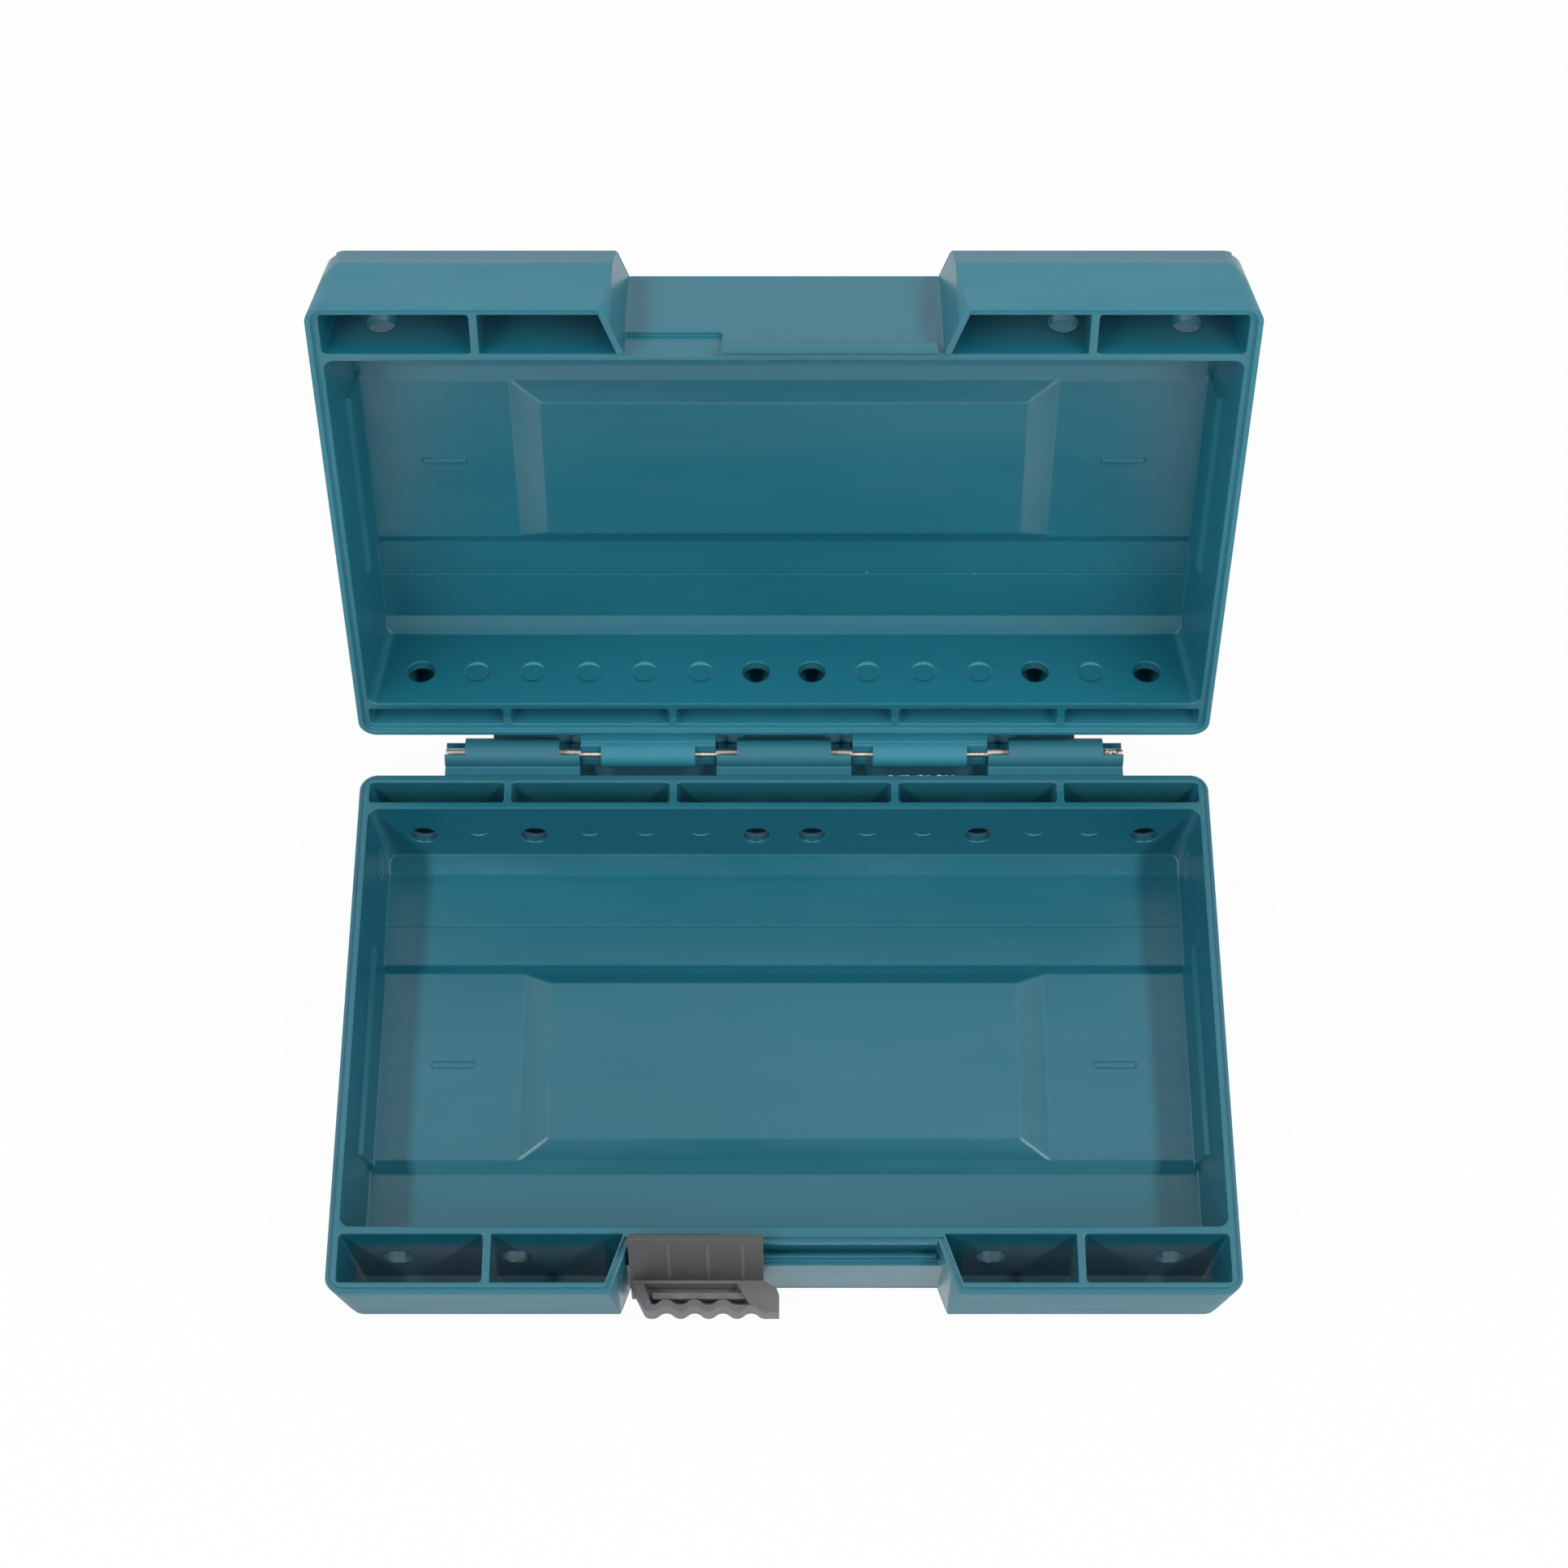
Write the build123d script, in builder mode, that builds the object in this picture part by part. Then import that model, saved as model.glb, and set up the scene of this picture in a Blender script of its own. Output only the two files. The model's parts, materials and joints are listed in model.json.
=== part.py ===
from build123d import *
import math
import os
from dataclasses import dataclass

# Compartment organizer box, shown open: two moulded tray halves on one long hinge pin,
# closed at the front by a latch that slides along a rail.
# Lengths are millimetres, X runs along the hinge, Y from front to back, Z up.

# Overall sizes, measured at the rim where the halves meet
WIDTH = 240.0
DEPTH = 156.0
BASE_HEIGHT = 28.5
LID_HEIGHT = 32.5
OPEN_ANGLE = 102.5
CORNER_RADIUS = 5.0

# Walls and draft
RIM_WALL = 2.9
INNER_WALL = 2.0
FLOOR = 2.4
SIDE_DRAFT = 2.6
BACK_DRAFT = 2.2
BASE_FRONT_DRAFT = 5.2
LID_FRONT_DRAFT = 7.5
ROOM_DRAFT = 1.0
RIB_DRAFT = 0.4
ROOM_RADIUS = 3.0
BIN_RADIUS = 1.0
FOOT_EDGE = 1.2
BAND_DEPTH = 5.5
BAND_RISE = 2.0

# Lap joint where the lid meets the base
LIP_WIDTH = 1.6
LIP_HEIGHT = 1.2
SEAM_GAP = 0.15
LIP_CLEARANCE = 0.2

# Double wall at the back and narrow bins at the front
BACK_GAP = 6.5
FRONT_GAP = 13.6
TROUGH_RIBS = (31.3, 78.0)
BIN_DIVIDER = 78.0

# Recess for the latch in the middle of the front
RECESS_DEPTH = 15.6
RECESS_BACK_HALF = 40.4
RECESS_FRONT_HALF = 45.7
RECESS_DRAFT = 1.0
LEDGE_DEPTH = 11.7
LEDGE_DROP = 9.2
LEDGE_LEAN = 1.2
RAIL_BACK = 14.3
RAIL_WIDTH = 1.0
RAIL_HEIGHT = 2.0
BEAD_REACH = 1.2
BEAD_HEIGHT = 1.5

# Catch in the lid: a notch that frees the tooth and a bead that holds it
NOTCH_END = -15.7
NOTCH_HEIGHT = 9.4
NOTCH_DEPTH = 1.4
CATCH_REACH = 2.0
CATCH_HEIGHT = 2.6
CATCH_END = 39.0

# Panels pressed inwards in the middle of both trays
PANEL_BACK = 47.1
PANEL_LENGTH = 64.0
PANEL_HALF = 113.0
PAD_RISE = 13.5
PAD_STEP = 1.2
PANEL_RISE = 1.8
PANEL_SLOPE = 3.5
PANEL_RADIUS = 1.5
CENTRE_HALF = 73.0
CENTRE_RISE = 3.8
CENTRE_SIDE_SLOPE = 8.0
CENTRE_END_SLOPE = 4.7
BAR_X = 92.0
BAR_LENGTH = 11.6
BAR_WIDTH = 1.8
BAR_RISE = 0.6
STACK_STEP = 2.5
STACK_HEIGHT = 3.0

# Hinge along the back rim
PIN_OFFSET = 7.4
PIN_RADIUS = 1.25
PIN_CLEARANCE = 0.05
KNUCKLE_RADIUS = 4.2
KNUCKLE_COUNT = 5
KNUCKLE_LENGTH = 38.56
KNUCKLE_GAP = 0.3
WEB_ANGLE = 40.0
WEB_ROOT = 2.0
SHELF_DROP = 0.6
WINDOW_LENGTH = 5.8
WINDOW_FRONT = 2.5
WINDOW_DROP = 0.9
APRON_THICKNESS = 1.5
APRON_CLEARANCE = 0.5
APRON_EASE = 0.6
LID_APRON_HALF = 83.0

# Row of peg holes through the inner walls
PEG_PITCH = 15.8
PEG_COUNT = 14
PEG_RADIUS = 3.9
PEG_DROP = 13.5
BASE_BACK_HOLES = (1, 3, 7, 8, 11, 14)
BASE_FRONT_HOLES = (1, 3, 11, 14)
LID_BACK_HOLES = (1, 7, 8, 12, 14)
LID_FRONT_HOLES = (1, 12, 14)

# Latch, a dark moulding that slides from left to right
LATCH_WIDTH = 35.4
LATCH_GAP = 0.3
PLATE_THICKNESS = 2.0
PLATE_RISE = 8.5
PLATE_LEAN = 1.0
TOOTH_START = 0.8
TOOTH_LENGTH = 22.6
TOOTH_REACH = 1.8
TOOTH_THICKNESS = 3.0
GRIP_TOP = 14.0
GRIP_LIFT = 0.8
GRIP_HEIGHT = 5.4
GRIP_FRONT = 0.8
GRIP_SLANT = 4.2
GRIP_WALL = 2.0
GRIP_FLOOR = 0.8
FLUTE_PITCH = 7.5
FLUTE_DEPTH = 1.5
GRIP_CORNER = 2.0
GRIP_ROUND = 3.2
GRIP_BULGE = 3.5
GRIP_LAND = 1.7
SLOT_RIB = 0.6
SLOT_SLANT = 2.4
SLOT_FLUTES = 3
SLOT_LAND = 3.5
SLOT_BAR_PLACE = 5.1
SLOT_BAR_WIDTH = 1.8
SLOT_BAR_DROP = 1.6

FRONT = -DEPTH / 2
BACK = DEPTH / 2
PIN_Y = BACK + PIN_OFFSET
PIN_Z = BASE_HEIGHT
BACK_WALL = BACK - RIM_WALL - BACK_GAP
FRONT_WALL = FRONT + RIM_WALL + FRONT_GAP


@dataclass(frozen=True)
class Half:
    """One tray half: its outer face, its rim and the way to its inside."""

    outside: float
    rim: float
    inward: int
    front_draft: float

    def level(self, distance: float) -> float:
        """Height at a distance inwards from the outer face."""
        return self.outside + self.inward * distance

    def below_rim(self, distance: float) -> float:
        """Height at a distance from the rim towards the floor."""
        return self.rim - self.inward * distance

    def floor(self) -> float:
        """Height of the inner face of the floor."""
        return self.level(FLOOR)

    def mouth(self) -> float:
        """Height that the compartments are cut from, past the lap joint."""
        return self.rim + self.inward * LIP_HEIGHT


BASE = Half(outside=0.0, rim=BASE_HEIGHT, inward=1, front_draft=BASE_FRONT_DRAFT)
LID = Half(outside=BASE_HEIGHT + LID_HEIGHT, rim=BASE_HEIGHT, inward=-1, front_draft=LID_FRONT_DRAFT)


@dataclass(frozen=True)
class Sides:
    """The four sides of a rectangle in plan, each at its own place."""

    left: float
    right: float
    front: float
    back: float

    def drawn_in(self, left: float, right: float, front: float, back: float) -> "Sides":
        """The same rectangle with every side moved inwards by its own amount."""
        return Sides(self.left + left, self.right - right, self.front + front, self.back - back)


def filled(plane: Plane, *corners: tuple[float, float]) -> Sketch:
    """A face with straight sides through corners given on a plane."""
    with BuildSketch(plane) as face:
        with BuildLine():
            Polyline(*corners, close=True)
        make_face()
    return face.sketch


def profile(plane: Plane, low: tuple, high: tuple, levels: tuple[float, float]) -> Sketch:
    """A four-sided section between two levels, from its width at each."""
    bottom, top = levels
    return filled(plane, (low[0], bottom), (low[1], bottom), (high[1], top), (high[0], top))


def drafted_block(levels: tuple[float, float], low: Sides, high: Sides, radius: float) -> Part:
    """A block with flat drafted sides and rounded corners between two levels."""
    front = min(low.front, high.front)
    back = max(low.back, high.back)
    left = min(low.left, high.left)
    right = max(low.right, high.right)
    along = profile(Plane.XZ.offset(-front), (low.left, low.right), (high.left, high.right), levels)
    across = profile(Plane.YZ.offset(left), (low.front, low.back), (high.front, high.back), levels)
    with BuildPart() as block:
        extrude(along, amount=front - back)
        extrude(across, amount=right - left, mode=Mode.INTERSECT)
        corners = block.edges().filter_by(lambda edge: abs(edge.tangent_at(0.5).Z) > 0.1)
        fillet(corners, radius)
    return block.part


def slanted_block(plan: list[tuple], levels: tuple[float, float], low: tuple, high: tuple) -> Part:
    """An upright block on a many-sided plan, cut front and back to the section given at two levels."""
    reach = max(abs(x) for x, _ in plan)
    with BuildPart() as block:
        extrude(filled(Plane.XY.offset(min(levels)), *plan), amount=abs(levels[1] - levels[0]))
        extrude(profile(Plane.YZ.offset(-reach), low, high, levels), amount=2 * reach, mode=Mode.INTERSECT)
    return block.part


def recess_side(depth: float) -> float:
    """Half the width of the latch recess at a depth behind the front."""
    return RECESS_FRONT_HALF + (RECESS_BACK_HALF - RECESS_FRONT_HALF) * depth / RECESS_DEPTH


def recess_block(levels: tuple[float, float], low_depth: float, high_depth: float) -> Part:
    """What the latch recess takes from the front between two levels, with its depth at each."""
    deepest = max(low_depth, high_depth)
    wide = recess_side(-1)
    narrow = recess_side(deepest)
    start = FRONT - 1
    plan = [(-wide, start), (wide, start), (narrow, FRONT + deepest), (-narrow, FRONT + deepest)]
    return slanted_block(plan, levels, (start, FRONT + low_depth), (start, FRONT + high_depth))


def room(half: Half, mouth: Sides, lean: tuple, radius: float) -> Part:
    """One compartment from the rim to the floor; lean is the draft of its four sides."""
    return drafted_block((half.mouth(), half.floor()), mouth, mouth.drawn_in(*lean), radius)


def front_bin(half: Half, mirrored: int) -> Part:
    """The narrow bin beside the recess, with its slanted end wall."""
    slope = (RECESS_FRONT_HALF - RECESS_BACK_HALF) / RECESS_DEPTH
    wall = INNER_WALL / math.cos(math.atan(slope))
    near = FRONT + RIM_WALL
    divider = BIN_DIVIDER - INNER_WALL / 2
    plan = [
        (mirrored * divider, near),
        (mirrored * divider, FRONT_WALL),
        (mirrored * (recess_side(FRONT_WALL - FRONT) + wall), FRONT_WALL),
        (mirrored * (recess_side(near - FRONT) + wall), near),
    ]
    levels = (half.mouth(), half.floor())
    return slanted_block(plan, levels, (near, FRONT_WALL), (near + half.front_draft, FRONT_WALL - ROOM_DRAFT))


def rooms(half: Half) -> list[Part]:
    """Every compartment of one tray half."""
    inner_half = WIDTH / 2 - RIM_WALL
    side_lean = SIDE_DRAFT + ROOM_DRAFT
    rib = INNER_WALL / 2
    main = Sides(-inner_half, inner_half, FRONT_WALL + INNER_WALL, BACK_WALL - INNER_WALL)
    parts = [room(half, main, (side_lean, side_lean, ROOM_DRAFT, ROOM_DRAFT), ROOM_RADIUS)]
    ribs = (-inner_half - rib,) + tuple(-x for x in reversed(TROUGH_RIBS)) + TROUGH_RIBS + (inner_half + rib,)
    for left, right in zip(ribs, ribs[1:]):
        trough = Sides(left + rib, right - rib, BACK_WALL, BACK - RIM_WALL)
        lean_left = side_lean if left == ribs[0] else RIB_DRAFT
        lean_right = side_lean if right == ribs[-1] else RIB_DRAFT
        parts.append(room(half, trough, (lean_left, lean_right, ROOM_DRAFT / 2, BACK_DRAFT), BIN_RADIUS))
    right_bin = Sides(BIN_DIVIDER + rib, inner_half, FRONT + RIM_WALL, FRONT_WALL)
    left_bin = Sides(-inner_half, -BIN_DIVIDER - rib, FRONT + RIM_WALL, FRONT_WALL)
    parts.append(room(half, right_bin, (RIB_DRAFT, side_lean, half.front_draft, ROOM_DRAFT), BIN_RADIUS))
    parts.append(room(half, left_bin, (side_lean, RIB_DRAFT, half.front_draft, ROOM_DRAFT), BIN_RADIUS))
    parts.append(front_bin(half, 1))
    parts.append(front_bin(half, -1))
    return parts


def panels(half: Half, start: float, narrower: float, wide_half: float, side_slope: float) -> list[Part]:
    """The wide low panel of the floor and the higher one on its middle, from one level inwards."""
    back = BACK - PANEL_BACK
    wide = Sides(-wide_half, wide_half, back - PANEL_LENGTH, back)
    wide_top = wide.drawn_in(side_slope, side_slope, PANEL_SLOPE, PANEL_SLOPE)
    centre = Sides(-CENTRE_HALF + narrower, CENTRE_HALF - narrower, wide_top.front, wide_top.back)
    centre_top = centre.drawn_in(CENTRE_SIDE_SLOPE, CENTRE_SIDE_SLOPE, CENTRE_END_SLOPE, CENTRE_END_SLOPE)
    step = start + PANEL_RISE
    return [
        drafted_block((half.level(start), half.level(step)), wide, wide_top, PANEL_RADIUS),
        drafted_block((half.level(step), half.level(step + CENTRE_RISE)), centre, centre_top, PANEL_RADIUS),
    ]


def wall_pad(half: Half, mirrored: int) -> Part:
    """The low pad on a side wall beside the wide panel, with bevelled top and ends."""
    foot = WIDTH / 2 - RIM_WALL - SIDE_DRAFT - ROOM_DRAFT
    lean = (SIDE_DRAFT + ROOM_DRAFT) / abs(half.mouth() - half.floor())
    shoulder = PAD_RISE - PAD_STEP
    back = BACK - PANEL_BACK
    front = back - PANEL_LENGTH
    section = filled(
        Plane.XZ.offset(-back),
        (mirrored * (foot - PAD_STEP), half.floor()),
        (mirrored * (foot + lean * shoulder - PAD_STEP), half.level(FLOOR + shoulder)),
        (mirrored * (foot + lean * PAD_RISE), half.level(FLOOR + PAD_RISE)),
        (mirrored * (foot + lean * PAD_RISE + PAD_STEP / 2), half.level(FLOOR + PAD_RISE)),
        (mirrored * (foot + PAD_STEP / 2), half.floor()),
    )
    outer = mirrored * (foot + RIM_WALL)
    near = mirrored * (foot - PAD_STEP)
    plan = filled(
        Plane.XY.offset(half.floor()),
        (outer, back),
        (mirrored * (foot + PAD_STEP), back),
        (near, back - 2 * PAD_STEP),
        (near, front + 2 * PAD_STEP),
        (mirrored * (foot + PAD_STEP), front),
        (outer, front),
    )
    with BuildPart() as pad:
        extrude(section, amount=PANEL_LENGTH)
        extrude(plan, amount=half.inward * PAD_RISE, mode=Mode.INTERSECT)
    return pad.part


def foot_band(half: Half) -> Part:
    """The slanted band between the floor and the inner back wall."""
    wall = BACK_WALL - INNER_WALL - ROOM_DRAFT
    start = wall - BAND_DEPTH
    end = wall + INNER_WALL / 3
    top = FLOOR + BAND_RISE * (end - start) / BAND_DEPTH
    side = WIDTH / 2 - RIM_WALL - SIDE_DRAFT - ROOM_DRAFT / 2
    with BuildPart() as band:
        extrude(
            filled(
                Plane.YZ.offset(-side),
                (start, half.floor()),
                (end, half.level(top)),
                (end, half.level(FLOOR / 2)),
                (start, half.level(FLOOR / 2)),
            ),
            amount=2 * side,
        )
    return band.part


def outer_body(half: Half) -> Part:
    """The drafted outside of a tray half, before anything is cut from it."""
    rim = Sides(-WIDTH / 2, WIDTH / 2, FRONT, BACK)
    foot = rim.drawn_in(SIDE_DRAFT, SIDE_DRAFT, half.front_draft, BACK_DRAFT)
    rim_level = half.rim if half is BASE else half.rim + SEAM_GAP
    with BuildPart() as body:
        add(drafted_block((rim_level, half.outside), rim, foot, CORNER_RADIUS))
        outer_face = body.faces().sort_by(Axis.Z)[0 if half is BASE else -1]
        chamfer(outer_face.edges(), FOOT_EDGE)
    return body.part


def stack_steps(half: Half) -> Part:
    """What is cut from both outer side edges so that boxes stack."""
    reach = SIDE_DRAFT + STACK_STEP
    with BuildPart() as steps:
        with BuildSketch(Plane.XY.offset(half.outside)):
            with Locations((WIDTH / 2 - reach / 2, 0), (-WIDTH / 2 + reach / 2, 0)):
                Rectangle(reach, DEPTH)
        extrude(amount=half.inward * STACK_HEIGHT)
    return steps.part


def lap_outline(inset: float) -> Sketch:
    """All that stands inside the lip in plan: the rim moved inwards, and the band behind the latch."""
    with BuildSketch(Plane.XY.offset(BASE_HEIGHT)) as lap:
        RectangleRounded(WIDTH - 2 * inset, DEPTH - 2 * inset, CORNER_RADIUS - inset)
        with BuildLine():
            wide = recess_side(-1) + inset
            narrow = recess_side(RECESS_DEPTH) + inset
            start = FRONT - 1
            end = FRONT + RECESS_DEPTH
            Polyline((-wide, start), (wide, start), (narrow, end), (-narrow, end), close=True)
        make_face(mode=Mode.SUBTRACT)
    return lap.sketch


def knuckle_end(index: int) -> float:
    """X of the left end of one knuckle bay, counted from 0."""
    return (index - KNUCKLE_COUNT / 2) * KNUCKLE_LENGTH


def knuckle(index: int, side: int) -> Part:
    """One hinge knuckle with its web; side is -1 on the base and 1 on the lid."""
    start = knuckle_end(index) + KNUCKLE_GAP / 2
    length = KNUCKLE_LENGTH - KNUCKLE_GAP
    angle = math.radians(WEB_ANGLE)
    tangent_y = PIN_Y + KNUCKLE_RADIUS * math.sin(angle)
    tangent_z = PIN_Z + side * KNUCKLE_RADIUS * math.cos(angle)
    root_y = BACK - WEB_ROOT
    root_z = tangent_z + side * (tangent_y - root_y) * math.tan(angle)
    with BuildPart() as body:
        with BuildSketch(Plane.YZ.offset(start)):
            with Locations((PIN_Y, PIN_Z)):
                Circle(KNUCKLE_RADIUS)
            with BuildLine():
                Polyline(
                    (root_y, PIN_Z + side * SHELF_DROP),
                    (PIN_Y, PIN_Z + side * SHELF_DROP),
                    (tangent_y, tangent_z),
                    (root_y, root_z),
                    close=True,
                )
            make_face()
        extrude(amount=length)
        with BuildSketch(Plane.YZ.offset(start)):
            with Locations((PIN_Y, PIN_Z)):
                Circle(PIN_RADIUS + PIN_CLEARANCE)
        extrude(amount=length, mode=Mode.SUBTRACT)
        # Windows that show the pin: behind it on the base, along the whole underside on the lid
        if side < 0:
            corner = (PIN_Y - WINDOW_FRONT, PIN_Z - PIN_RADIUS)
            align = (Align.MIN, Align.MIN)
        else:
            corner = (PIN_Y - KNUCKLE_RADIUS, PIN_Z - WINDOW_DROP)
            align = (Align.MIN, Align.MAX)
        for window_start in (start, start + length - WINDOW_LENGTH):
            with BuildSketch(Plane.YZ.offset(window_start)):
                with Locations(corner):
                    Rectangle(KNUCKLE_RADIUS * 2, KNUCKLE_RADIUS * 2, align=align)
            extrude(amount=WINDOW_LENGTH, mode=Mode.SUBTRACT)
    return body.part


def apron(side: int, half_length: float) -> Part:
    """The plate that closes one half behind the hinge; the ends of both plates meet to stop the lid."""
    angle = math.radians(WEB_ANGLE)
    stop = math.radians(OPEN_ANGLE / 2 + APRON_EASE)
    near = KNUCKLE_RADIUS + APRON_CLEARANCE
    root = -PIN_OFFSET - WEB_ROOT
    section = []
    for reach in (near, near + APRON_THICKNESS):
        end = reach / math.sin(stop + angle)
        at_wall = (PIN_Y + root, PIN_Z + side * (reach - root * math.sin(angle)) / math.cos(angle))
        at_end = (PIN_Y + end * math.cos(stop), PIN_Z + side * end * math.sin(stop))
        section += [at_wall, at_end] if reach == near else [at_end, at_wall]
    with BuildPart() as plate:
        extrude(filled(Plane.YZ.offset(-half_length), *section), amount=2 * half_length)
    return plate.part


def peg_x(number: int) -> float:
    """X of one peg hole, counted from 1 at the left."""
    return (number - (PEG_COUNT + 1) / 2) * PEG_PITCH


def peg_holes(half: Half, numbers, y_start: float, length: float) -> Part:
    """Round cutters along Y at the numbered places, from one Y over a length."""
    z = half.below_rim(PEG_DROP)
    with BuildPart() as pegs:
        with BuildSketch(Plane.XZ.offset(-y_start)):
            with Locations([(peg_x(number), z) for number in numbers]):
                Circle(PEG_RADIUS)
        extrude(amount=-length)
    return pegs.part


def tray(half: Half, back_holes: tuple, front_holes: tuple) -> Part:
    """One tray half with its compartments, panels and holes, before its rim and hinge."""
    with BuildPart() as body:
        add(outer_body(half))
        add(stack_steps(half), mode=Mode.SUBTRACT)
        if half is BASE:
            extrude(lap_outline(LIP_WIDTH), amount=LIP_HEIGHT)
        for compartment in rooms(half):
            add(compartment, mode=Mode.SUBTRACT)
        for raised in panels(half, FLOOR, 0, PANEL_HALF + FLOOR / 4, 0):
            add(raised)
        for hollow in panels(half, 0, FLOOR / 2, PANEL_HALF - FLOOR / 2, PANEL_SLOPE):
            add(hollow, mode=Mode.SUBTRACT)
        add(foot_band(half))
        for mirrored in (-1, 1):
            add(wall_pad(half, mirrored))
        bar_y = BACK - PANEL_BACK - PANEL_LENGTH / 2
        with BuildSketch(Plane.XY.offset(half.level(FLOOR + PANEL_RISE))):
            with Locations((BAR_X, bar_y), (-BAR_X, bar_y)):
                Rectangle(BAR_LENGTH, BAR_WIDTH)
        extrude(amount=half.inward * BAR_RISE)
        through = INNER_WALL + 2 * ROOM_DRAFT
        add(peg_holes(half, back_holes, BACK_WALL - INNER_WALL - ROOM_DRAFT, through), mode=Mode.SUBTRACT)
        add(peg_holes(half, front_holes, FRONT_WALL - ROOM_DRAFT, through), mode=Mode.SUBTRACT)
    return body.part


def flute_point(start: float, count: float, across: float, front: float) -> tuple[float, float]:
    """A point on the flutes; across is its X from the crest that follows a count of flutes."""
    chord = FLUTE_PITCH / 4
    radius = (chord**2 + (FLUTE_DEPTH / 2) ** 2) / FLUTE_DEPTH
    return (start + count * FLUTE_PITCH + across, front + radius - math.sqrt(radius**2 - across**2))


def fluted_front(start: float, flutes: int, front: float) -> None:
    """The row of hollows along the grip as arcs, from one crest to the last."""
    quarter = FLUTE_PITCH / 4
    for flute in range(flutes):
        crest = flute_point(start, flute, 0, front)
        down = flute_point(start, flute, quarter, front)
        up = flute_point(start, flute + 1, -quarter, front)
        hollow = (start + (flute + 0.5) * FLUTE_PITCH, front + FLUTE_DEPTH)
        next_crest = flute_point(start, flute + 1, 0, front)
        ThreePointArc(crest, flute_point(start, flute, quarter / 2, front), down)
        ThreePointArc(down, hollow, up)
        ThreePointArc(up, flute_point(start, flute + 1, -quarter / 2, front), next_crest)


# Base half
ledge_z = BASE_HEIGHT - LEDGE_DROP
tongue_top = BASE_HEIGHT + LIP_HEIGHT
with BuildPart() as base_shell:
    add(tray(BASE, BASE_BACK_HOLES, BASE_FRONT_HOLES))
    # Upper recess, down to the ledge that the latch slides on
    add(recess_block((ledge_z, tongue_top), RECESS_DEPTH, RECESS_DEPTH), mode=Mode.SUBTRACT)
    add(recess_block((0, ledge_z), LEDGE_DEPTH + LEDGE_LEAN, LEDGE_DEPTH), mode=Mode.SUBTRACT)
    # Bead and rail that hold the latch
    with BuildSketch(Plane.YZ.offset(-RECESS_BACK_HALF)) as rail_section:
        with Locations((FRONT + RECESS_DEPTH, BASE_HEIGHT)):
            Rectangle(BEAD_REACH, BEAD_HEIGHT, align=(Align.MAX, Align.MAX))
        with Locations((FRONT + RAIL_BACK, ledge_z)):
            Rectangle(RAIL_WIDTH, RAIL_HEIGHT, align=(Align.MAX, Align.MIN))
    extrude(amount=2 * RECESS_BACK_HALF)
    for bay in range(0, KNUCKLE_COUNT, 2):
        add(knuckle(bay, -1))
    add(apron(-1, -knuckle_end(0) - KNUCKLE_GAP / 2))

# Lid half, modelled closed and then turned open about the pin
with BuildPart() as lid_closed:
    add(tray(LID, LID_BACK_HOLES, LID_FRONT_HOLES))
    add(recess_block((BASE_HEIGHT, LID.outside), RECESS_DEPTH, RECESS_DEPTH + RECESS_DRAFT), mode=Mode.SUBTRACT)
    with BuildSketch(Plane.XY.offset(BASE_HEIGHT)):
        with Locations((-RECESS_BACK_HALF, FRONT + RECESS_DEPTH + NOTCH_DEPTH)):
            Rectangle(NOTCH_END + RECESS_BACK_HALF, RECESS_DEPTH - LEDGE_DEPTH, align=(Align.MIN, Align.MAX))
    extrude(amount=NOTCH_HEIGHT, mode=Mode.SUBTRACT)
    # Bead that the tooth slides over
    with BuildSketch(Plane.YZ.offset(NOTCH_END)):
        with BuildLine():
            Polyline(
                (FRONT + RECESS_DEPTH + RECESS_DRAFT, BASE_HEIGHT + SEAM_GAP),
                (FRONT + RECESS_DEPTH - CATCH_REACH, BASE_HEIGHT + SEAM_GAP),
                (FRONT + RECESS_DEPTH - CATCH_REACH, BASE_HEIGHT + CATCH_HEIGHT),
                (FRONT + RECESS_DEPTH + RECESS_DRAFT, BASE_HEIGHT + CATCH_HEIGHT),
                close=True,
            )
        make_face()
    extrude(amount=CATCH_END - NOTCH_END)
    for bay in range(1, KNUCKLE_COUNT, 2):
        add(knuckle(bay, 1))
    add(apron(1, LID_APRON_HALF))
    # Inner step of the lap joint
    with BuildSketch(Plane.XY.offset(BASE_HEIGHT)):
        add(lap_outline(LIP_WIDTH - LIP_CLEARANCE))
        with Locations((0, FRONT + RECESS_DEPTH - LIP_CLEARANCE)):
            Rectangle(2 * RECESS_BACK_HALF, RIM_WALL + 1, align=(Align.CENTER, Align.MIN))
    extrude(amount=LIP_HEIGHT + SEAM_GAP, mode=Mode.SUBTRACT)
pin_axis = Axis((0, PIN_Y, PIN_Z), (1, 0, 0))
with BuildPart() as lid_shell:
    add(lid_closed.part.rotate(pin_axis, -OPEN_ANGLE))

# Hinge pin, pressed through all five knuckles
with BuildPart() as hinge_pin:
    with BuildSketch(Plane.YZ.offset(knuckle_end(0))):
        with Locations((PIN_Y, PIN_Z)):
            Circle(PIN_RADIUS)
    extrude(amount=KNUCKLE_COUNT * KNUCKLE_LENGTH)
    chamfer(hinge_pin.edges().filter_by(GeomType.CIRCLE), PIN_RADIUS / 3)

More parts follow.
